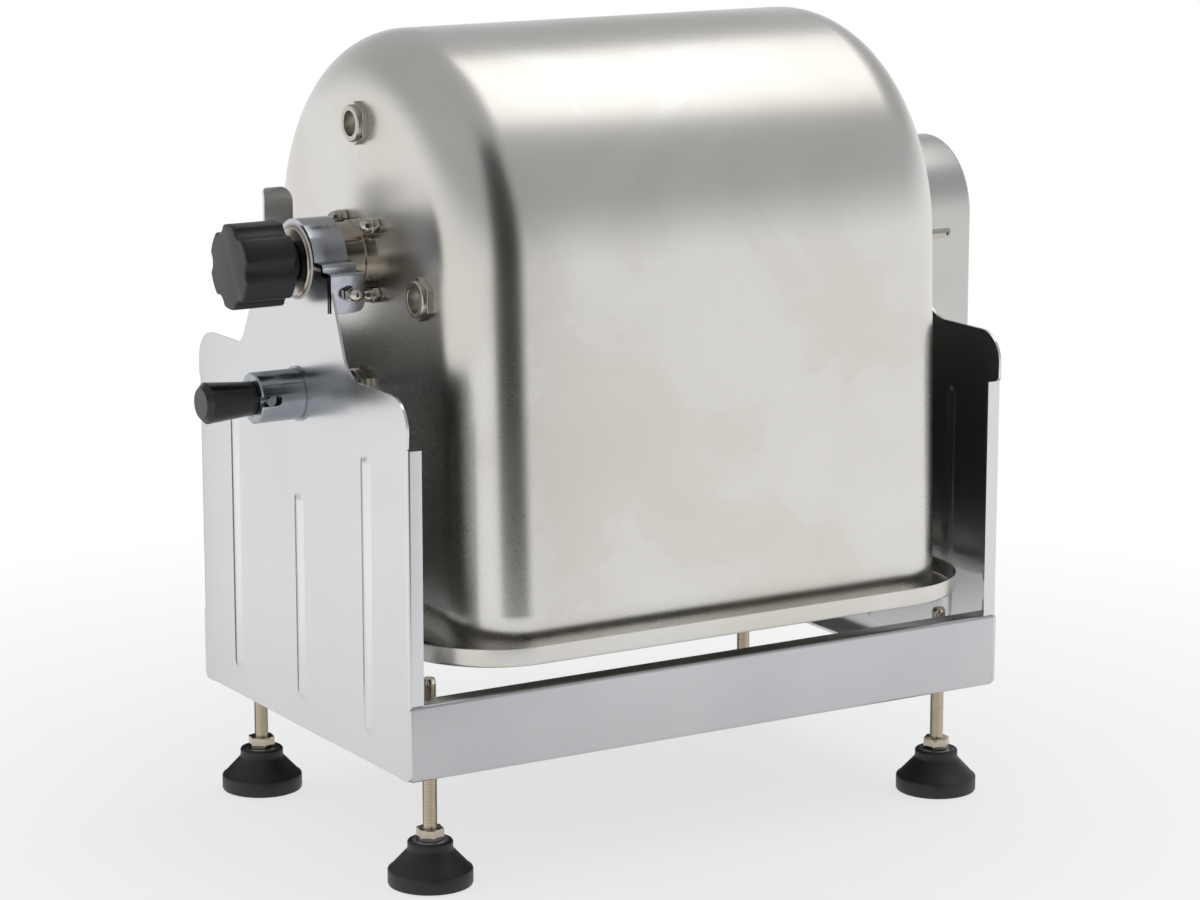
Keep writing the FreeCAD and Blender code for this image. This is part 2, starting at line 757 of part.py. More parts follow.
def tank_rim():
    """The ledge welded round the mouth, with the lip turned up from its edge."""
    body = new_body()
    ledge = Drawing(body, "XY_Plane", mouth_height)
    rounded_frame(ledge, rim_left, rim_right, rim_half, rim_round)
    rounded_frame(ledge, tank_left, tank_right, mouth_half, tank_round)
    ledge.pad(tank_wall)
    lip = Drawing(body, "XY_Plane", mouth_height)
    rounded_frame(lip, rim_left, rim_right, rim_half, rim_round)
    rounded_frame(lip, rim_left - tank_wall, rim_right - tank_wall, rim_half - tank_wall,
                  rim_round - tank_wall)
    lip.pad(rim_lip)
    return body


bolt_places = ring_places(hub_bolt_circle, 4, 45)
socket_turns = {"bottom": 0, "front": socket_tilt.value, "top": 180}
socket_places = [(-(socket_circle * math.sin(math.radians(turn))),
                  axis_height - socket_circle * math.cos(math.radians(turn)))
                 for turn in socket_turns.values()]
pin_height = axis_height - stop_pin_drop
wall_cut = tank_wall * 4
left_wall = -(tank_left + tank_wall)
right_wall = tank_right - tank_wall * 3
tank_holes = [cylinder(hub_collar_radius + running, wall_cut, left_wall, 0, axis_height, TO_X),
              cylinder(hub_collar_radius + running, wall_cut, right_wall, 0, axis_height, TO_X),
              cylinder(stop_pin_radius, wall_cut, right_wall, -stop_pin_circle, pin_height, TO_X)]
for y, z in bolt_places:
    tank_holes.append(cylinder(stud_radius + running, wall_cut, left_wall, y, z, TO_X))
    tank_holes.append(cylinder(stud_radius + running, wall_cut, right_wall, y, z, TO_X))
for y, z in socket_places:
    tank_holes.append(cylinder(socket_stem + running, wall_cut, left_wall, y, z, TO_X))
hollow = cut(tank_form(Size(0, "0.0")), [tank_form(tank_wall)])
node(cut(hollow, tank_holes), "tank_shell")
node(tank_rim(), "tank_rim")


# Hubs: a bored trunnion bolted through each end wall
def hub(reach, cap_wall, x, turn, label):
    """A trunnion with its flange inside the tank. A capped one takes the knob's screw."""
    opening = knob_screw_radius + running if cap_wall is not None else hub_bore
    seat = reach + tank_wall
    section = [(opening, 0), (hub_radius - 1, 0), (hub_radius, 1), (hub_radius, reach - hub_collar_length),
               (hub_collar_radius, reach - hub_collar_length), (hub_collar_radius, seat),
               (hub_flange_radius, seat), (hub_flange_radius, seat + hub_flange_wall),
               (hub_bore, seat + hub_flange_wall)]
    if cap_wall is not None:
        section += [(hub_bore, cap_wall), (opening, cap_wall)]
    body = turned(section, x, 0, axis_height, turn)
    start = -(tank_left - tank_wall + 1)
    if cap_wall is None:
        start = tank_right - tank_wall - hub_flange_wall - 1
    holes = [cylinder(stud_radius + running, hub_flange_wall + 3, start, y, z, TO_X) for y, z in bolt_places]
    node(cut(body, holes), label)


hub(hub_reach, hub_cap_wall, -hub_end, TO_X, "left_hub")
hub(right_hub_reach, None, tank_right + right_hub_reach, TO_LEFT, "right_hub")
bolts = []
cap_nuts = []
stack = hub_flange_wall + tank_wall
for y, z in bolt_places:
    for wall, turn in ((-tank_left, TO_LEFT), (tank_right, TO_X)):
        inside = wall + stack if turn is TO_LEFT else wall - stack
        bolts.append(bolt(stud_radius, stack + cap_nut_hex, cap_nut_flats / 2, BOLT_HEAD_HEIGHT,
                          inside, y, z, turn))
        cap_nuts.append(cap_nut(wall, y, z, turn))
node(group(bolts), "hub_bolts")
node(group(cap_nuts), "hub_cap_nuts")

# Bushes and lip seals that the mixing shaft turns in
shaft_bore = shaft_radius + running
flange_left = tank_left - tank_wall - hub_flange_wall
flange_right = tank_right - tank_wall - hub_flange_wall
ring_sets = {"shaft_seals": (seal_length, 0), "shaft_bushes": (bush_length, seal_length)}
for label, (length, offset) in ring_sets.items():
    section = [(shaft_bore, 0), (hub_bore, 0), (hub_bore, length), (shaft_bore, length)]
    node(group([turned(section, -(flange_left + offset), 0, axis_height, TO_LEFT),
                turned(section, flange_right + offset, 0, axis_height, TO_X)]), label)

# Index sockets: one for each position in which the tank can be locked
sockets = []
socket_nuts = []
socket_length = socket_face + tank_wall + 4
socket_floor = socket_length - 3
for y, z in socket_places:
    sockets.append(turned([(socket_bore, 0), (socket_radius - 0.8, 0), (socket_radius, 0.8),
                           (socket_radius, socket_flange), (socket_stem, socket_flange),
                           (socket_stem, socket_length), (0, socket_length), (0, socket_floor),
                           (socket_bore, socket_floor)], -socket_front, y, z, TO_X))
    socket_nuts.append(nut(socket_nut_flats, socket_face - socket_flange, socket_stem,
                           -(socket_front - socket_flange), y, z, TO_X))
node(group(sockets), "index_sockets")
node(group(socket_nuts), "socket_nuts")

# Stop pin on the gear side's end wall
pin_start = tank_right - tank_wall * 2
stop_pin = turned([(0, 0), (stop_pin_radius * 2, 0), (stop_pin_radius * 2, tank_wall),
                   (stop_pin_radius, tank_wall), (stop_pin_radius, stop_pin_length + tank_wall),
                   (stop_pin_radius - 1, stop_pin_length + tank_wall + 1),
                   (0, stop_pin_length + tank_wall + 1)],
                  pin_start, -stop_pin_circle, pin_height, TO_X)
eye_place = tank_right + stop_pin_length - stop_pin_radius * 1.3
pin_eye = cylinder(stop_pin_radius / 3, stop_pin_radius * 4, eye_place,
                   -(stop_pin_circle - stop_pin_radius * 2), pin_height, TO_FRONT)
node(cut(stop_pin, [pin_eye]), "stop_pin")

# Bearing strap over the left hub, with its liner, bolts and cap nuts
node(turned([(hub_radius + running, 0), (liner_radius, 0), (liner_radius, strap_width + 1),
             (hub_radius + running, strap_width + 1)], -(half_span + 0.5), 0, axis_height, TO_X), "hub_liner")


def bearing_strap():
    """An arch over the hub that steps out to a lug on each side."""
    body = new_body()
    arch = Drawing(body, "YZ_Plane", -half_span)
    step = strap_wall
    shelf = axis_height + step
    corner = leg(strap_radius, step)
    first = strap_radius + strap_step
    low = lug_low
    arch.outline([(-corner, shelf), (-first, shelf), (-first, axis_height - step / 1.5),
                  (-(lug_face + step), axis_height - step / 1.5), (-(lug_face + step), low),
                  (-lug_face, low), (-lug_face, axis_height - step * 1.6),
                  (-(first - step), axis_height - step * 1.6), (-(first - step), axis_height),
                  (-liner_radius, axis_height), (liner_radius, axis_height),
                  (tab_face - step, axis_height), (tab_face - step, low), (tab_face, low),
                  (tab_face, shelf), (corner, shelf)],
                 {9: (0, axis_height, False), 15: (0, axis_height, True)})
    arch.pad(strap_width)
    return body


plate_edge_gap = 0.3
lug_relief = box(sheet_wall + plate_edge_gap + 1, lug_face * 3, lug_bottom + 1, -(half_span + 1),
                 -(lug_face * 1.5), lug_low - 1)
strap_holes = [lug_relief,
               cylinder(stud_radius + running, strap_wall * 3, stud_x, -lug_face + strap_wall, stud_height,
                        TO_FRONT),
               cylinder(stud_radius + running, strap_wall * 3, tab_stud_x, tab_face - strap_wall * 2,
                        stud_height, TO_BACK)]
node(cut(bearing_strap(), strap_holes), "bearing_strap")
strap_reach = strap_wall * 2 + cap_nut_hex
strap_bolts = [bolt(stud_radius, strap_reach, cap_nut_flats / 2, BOLT_HEAD_HEIGHT, x, y, stud_height, turn)
               for x, y, turn in ((stud_x, -(lug_face - strap_wall), TO_FRONT),
                                  (tab_stud_x, tab_face - strap_wall, TO_BACK))]
node(group(strap_bolts), "strap_bolts")
node(group([cap_nut(stud_x, -(lug_face + strap_wall), stud_height, TO_FRONT),
            cap_nut(tab_stud_x, tab_face + strap_wall, stud_height, TO_BACK)]), "strap_cap_nuts")

# Star knob and the pivot pin that carries the shaft's free end
knob_face = hub_end + knob_gap
knob_blank = turned([(knob_screw_radius + running, 0), (knob_neck_radius, 0),
                     (knob_neck_radius, knob_neck_length), (knob_radius - 2, knob_neck_length),
                     (knob_radius, knob_neck_length + 2), (knob_radius, knob_neck_length + knob_length - 2),
                     (knob_radius - 2, knob_neck_length + knob_length), (0, knob_neck_length + knob_length),
                     (0, knob_neck_length + knob_length * KNOB_BORE_SHARE),
                     (knob_screw_radius + running, knob_neck_length + knob_length * KNOB_BORE_SHARE)],
                    -knob_face, 0, axis_height, TO_LEFT)
scallops = []
for number in range(KNOB_LOBES):
    angle = math.radians((number + 0.5) * 360 / KNOB_LOBES)
    scallops.append(cylinder(scallop_radius, knob_length + 2, -(knob_face + knob_neck_length - 1),
                             scallop_circle * math.cos(angle),
                             axis_height + scallop_circle * math.sin(angle), TO_LEFT))
node(cut(knob_blank, scallops), "star_knob")
screw_out = knob_gap + knob_neck_length + knob_length * KNOB_BORE_SHARE
pin_in = hub_end - shaft_left + pivot_engaged
screw_spare = knob_travel + 2
screw_in = hub_cap_wall + screw_spare
node(turned([(0, -screw_out), (knob_screw_radius, -screw_out), (knob_screw_radius, screw_in),
             (pivot_radius, screw_in), (pivot_radius, pin_in - 1), (pivot_radius - 1, pin_in),
             (0, pin_in)], -hub_end, 0, axis_height, TO_X), "pivot_pin")

# Index lock: barrel welded to the left plate, sprung pin, cross pin and pull handle
barrel = turned([(barrel_bore, 0), (barrel_radius - 1, 0), (barrel_radius, 1),
                 (barrel_radius, barrel_length - weld_ring_wall), (weld_ring, barrel_length - weld_ring_wall),
                 (weld_ring, barrel_length), (barrel_bore, barrel_length)], -barrel_end, 0, lock_height, TO_X)
slot_half = cross_pin_radius + 0.3
slot_length = barrel_length - barrel_slot_end
slot_cuts = [box(slot_length - slot_half + 1, barrel_radius * 4, slot_half * 2, -(barrel_end + 1),
                 -(barrel_radius * 2), lock_height - slot_half),
             cylinder(slot_half, barrel_radius * 4, -(half_span + barrel_slot_end + slot_half),
                      barrel_radius * 2, lock_height, TO_FRONT)]
node(cut(barrel, slot_cuts), "lock_barrel")
nose = socket_front + lock_gap
cross_place = half_span + cross_pin_place
collar_start = cross_place - lock_collar_length / 2 - nose
collar_end = collar_start + lock_collar_length
stem_end = collar_end + handle_length * LOCK_STEM_SHARE
lock_pin = turned([(0, 0), (lock_tip_radius, 0), (lock_pin_radius, lock_taper),
                   (lock_pin_radius, collar_start),
                   (barrel_bore - running, collar_start), (barrel_bore - running, collar_end),
                   (lock_stem_radius, collar_end), (lock_stem_radius, stem_end), (0, stem_end)],
                  -nose, 0, lock_height, TO_LEFT)
cross_bore = cylinder(cross_pin_radius + running, barrel_radius * 4, -cross_place, barrel_radius * 2,
                      lock_height, TO_FRONT)
node(cut(lock_pin, [cross_bore]), "lock_pin")
cross_half = barrel_radius + 0.3
node(cylinder(cross_pin_radius, cross_half * 2, -cross_place, cross_half, lock_height, TO_FRONT),
     "lock_cross_pin")
stem_bore = lock_stem_radius + running
node(turned([(stem_bore, 0), (handle_inner_radius, 0), (handle_outer_radius, handle_length - handle_chamfer),
             (handle_outer_radius - handle_chamfer, handle_length), (0, handle_length),
             (0, handle_length * LOCK_STEM_SHARE), (stem_bore, handle_length * LOCK_STEM_SHARE)],
            -(nose + collar_end), 0, lock_height, TO_LEFT), "lock_handle")


def lock_spring():
    """The coil between the plate and the lock pin's collar, of square wire."""
    wire = spring_wire.value
    height = (cross_pin_place - lock_collar_length / 2).value - wire
    path = Part.makeHelix(height / spring_turns.value, height, spring_radius.value)
    half = wire / 2
    corners = [Vector(spring_radius.value + x, 0, z) for x, z in
               ((-half, -half), (half, -half), (half, half), (-half, half), (-half, -half))]
    coil = Part.Wire(path).makePipeShell([Part.makePolygon(corners)], True, True)
    item = doc.addObject("Part::Feature", "Spring")
    item.Shape = coil
    return place(item, -(half_span + spring_wire / 2), 0, lock_height, TO_LEFT)


node(lock_spring(), "lock_spring")

# Mixing shaft with its paddles. The shaft's right end is slotted for the drive spindle's tongue
shaft_length = shaft_left + shaft_right
pivot_bore = pivot_radius + running
pivot_floor = pivot_engaged + 2
shaft_blank = turned([(pivot_bore, 0), (shaft_radius - 1, 0), (shaft_radius, 1),
                      (shaft_radius, shaft_length - 1),
                      (shaft_radius - 1, shaft_length), (0, shaft_length), (0, pivot_floor),
                      (pivot_bore, pivot_floor)], -shaft_left, 0, axis_height, TO_X)
dog_slot = box(dog_depth + 1, dog_width, shaft_radius * 3, shaft_right - dog_depth, -(dog_width / 2),
               axis_height - shaft_radius * 1.5)
node(cut(shaft_blank, [dog_slot]), "mixing_shaft")


def paddle(number):
    """A tapered blade, twisted out of the shaft's line, on a boss that clamps the shaft."""
    middle = (tank_right - tank_left) / 2 + paddle_spacing * (number - (paddle_count - 1) / 2)
    body = new_body()
    blade = Drawing(body, "XZ_Plane", -(paddle_wall / 2))
    root, tip = paddle_root_width / 2, paddle_tip_width / 2
    low, high = paddle_boss_radius - 2, paddle_reach
    blade.outline([(-root, low), (root, low), (tip, high - tip / 2), (tip / 2, high), (-tip / 2, high),
                   (-tip, high - tip / 2)])
    blade.pad(paddle_wall)
    round_turn = FreeCAD.Rotation(X_AXIS, number * 90 + PADDLE_START)
    twist = FreeCAD.Rotation(Z_AXIS, paddle_twist.value * (1 if number % 2 else -1))
    place(body, middle, 0, axis_height, round_turn.multiply(twist))
    half = paddle_root_width / 2 + 3
    start = middle - half
    solid = fused([body, cylinder(paddle_boss_radius, half * 2, start, 0, axis_height, TO_X)])
    return cut(solid, [cylinder(shaft_radius + running, half * 2, start, 0, axis_height, TO_X)])


for number in range(paddle_count):
    node(paddle(number), f"paddle_{number + 1}")

# Right bearing: a flanged ring on the right plate that the right hub turns in
ring_bore = hub_radius + running
bearing = turned([(ring_bore, 0), (bearing_radius, 0), (bearing_radius, bearing_wall),
                  (bearing_ring, bearing_wall), (bearing_ring, bearing_length), (ring_bore, bearing_length)],
                 plate_inner, 0, axis_height, TO_LEFT)
bearing_holes = [cylinder(case_screw_radius + running, bearing_wall, plate_inner - bearing_wall, y, z, TO_X)
                 for y, z in bearing_places]
node(cut(bearing, bearing_holes), "right_bearing")
screw_reach = bearing_wall + sheet_wall + gear_plate_wall
node(group([bolt(case_screw_radius, screw_reach, bearing_screw_head, screw_head_height,
                 plate_inner - bearing_wall, y, z, TO_X) for y, z in bearing_places]), "bearing_screws")


# Gear case: an arched cover over a bearing plate, which carry the gear train between them
def arch_form(inset, start, length):
    body = new_body()
    profile = Drawing(body, "YZ_Plane", start)
    half = case_radius - inset
    low = case_bottom + inset
    corner = case_round - inset
    profile.outline([(-(half - corner), low), (half - corner, low), (half, low + corner), (half, axis_height),
                     (-half, axis_height), (-half, low + corner)],
                    {1: (half - corner, low + corner, True), 3: (0, axis_height, True),
                     5: (-(half - corner), low + corner, True)})
    profile.pad(length)
    return body


pillar_places = [(pillar_side * sign, height) for sign in (-1, 1) for height in (pillar_high, pillar_low)]
plate_holes = [cylinder(spindle_bush + running, gear_plate_wall, half_span, 0, axis_height, TO_X),
               cylinder(idler_pin_radius + running, gear_plate_wall, half_span, 0, idler_height, TO_X),
               cylinder(input_bush + running, gear_plate_wall, half_span, 0, input_height, TO_X)]
plate_holes += [cylinder(case_screw_radius + running, gear_plate_wall, half_span, y, z, TO_X)
                for y, z in bearing_places]
node(cut(arch_form(case_wall + running, half_span, gear_plate_wall), plate_holes), "gear_plate")
case_holes = [arch_form(case_wall, half_span - 1, case_depth - case_wall + 1),
              cylinder(input_bush + running, case_wall, case_inside, 0, input_height, TO_X)]
case_holes += [cylinder(case_screw_radius + running, case_wall, case_inside, y, z, TO_X)
               for y, z in pillar_places]
node(cut(arch_form(Size(0, "0.0"), half_span, case_depth), case_holes), "gear_case")
pillar_length = case_inside - case_face
pillars = []
case_screws = []
for y, z in pillar_places:
    post = cylinder(pillar_radius, pillar_length, case_face, y, z, TO_X)
    tapped = cylinder(case_screw_radius + running, case_screw_depth, case_inside - case_screw_depth, y, z,
                      TO_X)
    pillars.append(cut(post, [tapped]))
    case_screws.append(bolt(case_screw_radius, case_screw_depth, pillar_radius, screw_head_height,
                            case_outside, y, z, TO_LEFT))
node(group(pillars), "case_pillars")
node(group(case_screws), "case_screws")


def flanged_bush(bore, outer, length, flange, x, z, turn):
    return turned([(bore + running, 0), (outer, 0), (outer, length - flange),
                   (outer + flange, length - flange),
                   (outer + flange, length), (bore + running, length)], x, 0, z, turn)


inner_length = gear_plate_wall + sheet_wall
node(group([flanged_bush(spindle_radius, spindle_bush, inner_length + bush_flange, bush_flange, plate_inner,
                         axis_height, TO_X),
            turned([(spindle_radius + running, 0), (spindle_bush, 0), (spindle_bush, bush_lip),
                    (spindle_radius + running, bush_lip)], case_inside - bush_lip, 0, axis_height, TO_X),
            flanged_bush(input_radius, input_bush, gear_plate_wall + bush_flange, bush_flange, half_span,
                         input_height, TO_X),
            flanged_bush(input_radius, input_bush, bush_lip + case_wall + bush_flange, bush_flange,
                         case_inside - bush_lip, input_height, TO_X)]), "gear_bushes")
node(cylinder(idler_pin_radius, case_inside - half_span, half_span, 0, idler_height, TO_X), "idler_pin")


# Gears with involute teeth. Each boss is the reach of a hub on one side of the teeth
def involute_gear(teeth, bore, centre, first_tooth, boss=None, boss_left=None, boss_right=None):
    module = gear_module.value
    pitch = teeth.value * module / 2
    base = pitch * math.cos(PRESSURE_ANGLE)
    root = pitch - 1.25 * module
    start = max(base, root)
    tip = pitch + module
    half_tooth = math.pi / (2 * teeth.value) - gear_backlash.value / (4 * pitch)
    spread = math.tan(PRESSURE_ANGLE) - PRESSURE_ANGLE
    flank = []
    for step in range(FLANK_STEPS + 1):
        radius = start + (tip - start) * step / FLANK_STEPS
        pressure = math.acos(base / radius)
        flank.append((radius, half_tooth + spread - (math.tan(pressure) - pressure)))
    if root < base:
        flank.insert(0, (root, flank[0][1]))
    points = []
    for number in range(round(teeth.value)):
        middle = first_tooth + 2 * math.pi * number / teeth.value
        for radius, angle in [(r, -a) for r, a in flank] + [(r, a) for r, a in reversed(flank)]:
            points.append(Vector(0, radius * math.cos(middle + angle), radius * math.sin(middle + angle)))
    points.append(points[0])
    solid = Part.Face(Part.makePolygon(points)).extrude(Vector(gear_width.value, 0, 0))
    back = boss_left.value if boss else 0
    length = back + gear_width.value + (boss_right.value if boss else 0)
    if boss:
        solid = solid.fuse(Part.makeCylinder(boss.value, length, Vector(-back, 0, 0), X_AXIS))
    hole = Part.makeCylinder(bore.value + running.value, length, Vector(-back, 0, 0), X_AXIS)
    item = doc.addObject("Part::Feature", "Gear")
    item.Shape = solid.cut(hole).removeSplitter()
    return place(item, half_span + gear_place, 0, centre)


UP = math.pi / 2
node(involute_gear(drive_teeth, spindle_radius, axis_height, -UP), "drive_gear")
node(involute_gear(idler_teeth, idler_pin_radius, idler_height, UP + math.pi / idler_teeth.value,
                   idler_pin_radius + bush_wall, gear_place - gear_plate_wall - side_play,
                   case_depth - case_wall - gear_place - gear_width - side_play), "idler_gear")
node(involute_gear(input_teeth, input_radius, input_height, UP), "input_gear")

# Drive spindle, whose tongue turns the mixing shaft, and the input shaft. A ring holds each gear
gear_start = half_span + gear_place
gear_end = gear_start + gear_width
collar_left = half_span + gear_plate_wall + bush_flange + side_play
spindle_left = shaft_right + 1
spindle_length = case_inside - 1 - spindle_left
tongue_gap = 0.4
spindle = turned([(0, 0), (spindle_radius, 0), (spindle_radius, collar_left - spindle_left),
                  (spindle_collar, collar_left - spindle_left), (spindle_collar, gear_start - spindle_left),
                  (spindle_radius, gear_start - spindle_left), (spindle_radius, spindle_length),
                  (0, spindle_length)], spindle_left, 0, axis_height, TO_X)
tongue_length = dog_depth + 1 - tongue_gap
tongue_width = dog_width - tongue_gap
tongue_half = leg(spindle_radius, tongue_width / 2)
tongue = box(tongue_length, tongue_width, tongue_half * 2, spindle_left - tongue_length,
             -(tongue_width / 2), axis_height - tongue_half)
node(fused([spindle, tongue]), "drive_spindle")
input_start = half_span + 1
gear_seat = gear_start - input_start
shoulder = case_outside + input_shoulder - input_start
input_length = case_outside + input_reach - input_start
input_shaft = turned([(0, 0), (input_radius, 0), (input_radius, collar_left - input_start),
                      (input_collar, collar_left - input_start), (input_collar, gear_seat),
                      (input_radius, gear_seat), (input_radius, shoulder), (input_end_radius, shoulder),
                      (input_end_radius, input_length - 1), (input_end_radius - 1, input_length),
                      (0, input_length)], input_start, 0, input_height, TO_X)
node(input_shaft, "input_shaft")
for label, radius, height in (("drive_ring", spindle_radius, axis_height),
                              ("input_ring", input_radius, input_height)):
    node(turned([(radius + running, 0), (radius + ring_rise, 0), (radius + ring_rise, ring_wall),
                 (radius + running, ring_wall)], gear_end, 0, height, TO_X), label)

# Checks, then one file for each sub-part
doc.recompute()
for item in doc.Objects:
    if "Invalid" in item.State or "Error" in item.State:
        raise RuntimeError(f"{item.Label} failed: {item.State}")
for item in nodes:
    if item.Shape.isNull() or not item.Shape.isValid():
        raise RuntimeError(f"{item.Label} has a faulty shape")
os.makedirs("parts", exist_ok=True)
for item in nodes:
    item.Shape.exportStep(f"parts/{item.Label}.step")
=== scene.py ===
import bmesh
import bpy
import json
import math
from mathutils import Matrix, Vector


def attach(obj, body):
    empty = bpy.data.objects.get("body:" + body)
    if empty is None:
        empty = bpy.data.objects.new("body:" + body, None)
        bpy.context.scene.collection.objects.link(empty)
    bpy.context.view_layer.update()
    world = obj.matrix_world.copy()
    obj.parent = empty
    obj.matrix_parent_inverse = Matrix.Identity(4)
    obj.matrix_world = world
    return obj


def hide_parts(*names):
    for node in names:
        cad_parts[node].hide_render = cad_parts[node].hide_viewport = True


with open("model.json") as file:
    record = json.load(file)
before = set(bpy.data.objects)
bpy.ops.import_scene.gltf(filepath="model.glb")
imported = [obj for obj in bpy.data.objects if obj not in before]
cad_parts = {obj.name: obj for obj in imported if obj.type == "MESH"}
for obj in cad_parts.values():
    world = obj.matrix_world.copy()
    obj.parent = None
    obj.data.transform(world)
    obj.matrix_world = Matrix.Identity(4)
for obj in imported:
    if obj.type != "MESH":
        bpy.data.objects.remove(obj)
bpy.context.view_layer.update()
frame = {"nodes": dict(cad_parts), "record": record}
scene = bpy.context.scene

# Places shared with the solids, in millimetres
AXIS_Z = 409
SHEET, HALF_SPAN, HALF_DEPTH = 2, 240, 157
FRAME_BOTTOM, RAIL_TOP, SHOULDER_Z, FLANGE_TOP = 81, 133.5, 339.5, 305
RAIL_FLANGE, SIDE_FLANGE, FLOOR_FLANGE = 15, 11, 17
SADDLE_Z, SADDLE_RADIUS, HEAD_RADIUS = 406.5, 26.05, 44
RIB_LOW, RIB_TOPS, RIB_FOOT = 99.5, {-99: 294.5, 0: 250.5, 99: 294.5}, 8
TANK_LEFT, TANK_RIGHT, MOUTH_Z = -190, 202, 153
TANK_RADIUS, TANK_CORNER, TANK_SKIN, MOUTH_HALF = 153, 44, 1.5, 162
RIM_LEFT, RIM_RIGHT, RIM_HALF, RIM_CORNER, RIM_LIP = -216, 228, 171, 70, 13
BOLT_CIRCLE, STUD_Z = 33.5, 393
LOCK_Z, SOCKET_CIRCLE, SOCKET_TILT = 318, 91, 79
CASE_OUT, CASE_LOW, CASE_RADIUS, CASE_CORNER = 288.5, 256, 53, 14
FOOT_X, FOOT_Y, PAD_TOP, JAM_NUT, ROD_SEAT = 210, 128.5, 31, 8.4, 14
CORNERS = {"front_left": (-1, -1), "front_right": (1, -1), "rear_left": (-1, 1), "rear_right": (1, 1)}

# A piece is made along Z and turned to lie along the shaft or across it
UPRIGHT = Matrix.Identity(4)
TO_RIGHT = Matrix.Rotation(math.radians(90), 4, "Y")
TO_LEFT = Matrix.Rotation(math.radians(-90), 4, "Y")
TO_FRONT = Matrix.Rotation(math.radians(90), 4, "X")
TO_SIDE = Matrix.Rotation(math.radians(90), 4, "Y")
TO_BACK = Matrix.Rotation(math.radians(-90), 4, "X")


# Materials
def tint(code, share=1):
    """A linear colour from an sRGB hex code, times a share."""
    channels = [int(code[start:start + 2], 16) / 255 for start in (1, 3, 5)]
    linear = [c / 12.92 if c <= 0.04045 else ((c + 0.055) / 1.055) ** 2.4 for c in channels]
    return (*(c * share for c in linear), 1)


def cycles(millimetres):
    """The pattern scale that gives a detail of this size."""
    return 1000 / millimetres


def add(tree, kind, settings=None, links=None, feeds=None):
    """Adds a node: its fields and sockets, what feeds them, and the (node, socket) its output feeds."""
    made = tree.nodes.new("ShaderNode" + kind)
    for name, value in (settings or {}).items():
        if name == "stops":
            made.color_ramp.elements[0].position, made.color_ramp.elements[1].position = value
        elif isinstance(name, int) or name in made.inputs:
            made.inputs[name].default_value = value
        else:
            setattr(made, name, value)
    for name, (source, output) in (links or {}).items():
        tree.links.new(source.outputs[output], made.inputs[name])
    for output, (target, socket) in (feeds or {}).items():
        tree.links.new(made.outputs[output], target.inputs[socket])
    return made


def blank(name, **settings):
    """A material with a plain surface shader, whose own sockets take the settings."""
    material = bpy.data.materials.new(name)
    material.use_nodes = True
    shader = material.node_tree.nodes["Principled BSDF"]
    for socket, value in settings.items():
        shader.inputs[socket.replace("_", " ")].default_value = value
    return material, material.node_tree, shader


def brushed_sheet(name, pale, dull, grain_mm, rough, cloud_mm, stain=0.0):
    """Stainless sheet. Its grain stretches the shine along the streaks, and handling leaves wide, faint
    clouds that dull it. A stained one also has dried tide marks with a clear edge."""
    material, tree, shader = blank(name, Metallic=1)
    place = add(tree, "TexCoord")
    streaks = add(tree, "Mapping", {"Scale": [cycles(size) for size in grain_mm]}, {"Vector": (place, "Object")})
    lines = add(tree, "TexNoise", {"Scale": 1, "Detail": 3, "Roughness": 0.6}, {"Vector": (streaks, 0)})
    mottled = add(tree, "TexNoise", {"Scale": cycles(cloud_mm), "Detail": 5, "Roughness": 0.55, "Distortion": 0.5},
                  {"Vector": (place, "Object")})
    cloud = add(tree, "ValToRGB", {"stops": (0.36, 0.66)}, {0: (mottled, 0)})
    tide = add(tree, "ValToRGB", {"stops": (0.50, 0.515)}, {0: (mottled, 0)})
    mark = add(tree, "Math", {"operation": "MULTIPLY", 1: stain}, {0: (tide, 0)})
    both = add(tree, "Math", {"operation": "MULTIPLY_ADD", 1: 0.45}, {0: (cloud, 0), 2: (mark, 0)})
    add(tree, "Mix", {"data_type": "RGBA", 6: tint(pale), 7: tint(dull)}, {0: (both, 0)},
        {2: (shader, "Base Color")})
    spread = add(tree, "MapRange", {"To Min": rough - 0.03, "To Max": rough + 0.04}, {"Value": (lines, 0)})
    add(tree, "Math", {"operation": "MULTIPLY_ADD", 1: 0.05}, {0: (both, 0), 2: (spread, 0)},
        {0: (shader, "Roughness")})
    add(tree, "Bump", {"Strength": 0.03, "Distance": 0.0001}, {"Height": (lines, 0)}, {0: (shader, "Normal")})
    return material


def turned_metal(name, colour, rough, wear):
    """Machined or plated metal: an even shine with faint handling marks a few millimetres wide."""
    material, tree, shader = blank(name, Metallic=1)
    place = add(tree, "TexCoord")
    marks = add(tree, "TexNoise", {"Scale": cycles(6), "Detail": 4, "Roughness": 0.6}, {"Vector": (place, "Object")})
    add(tree, "MapRange", {"From Min": 0.3, "From Max": 0.7, "To Min": rough - wear, "To Max": rough + wear},
        {"Value": (marks, 0)}, {0: (shader, "Roughness")})
    add(tree, "Mix", {"data_type": "RGBA", 6: tint(colour), 7: tint(colour, 0.86)}, {0: (marks, 0)},
        {2: (shader, "Base Color")})
    return material


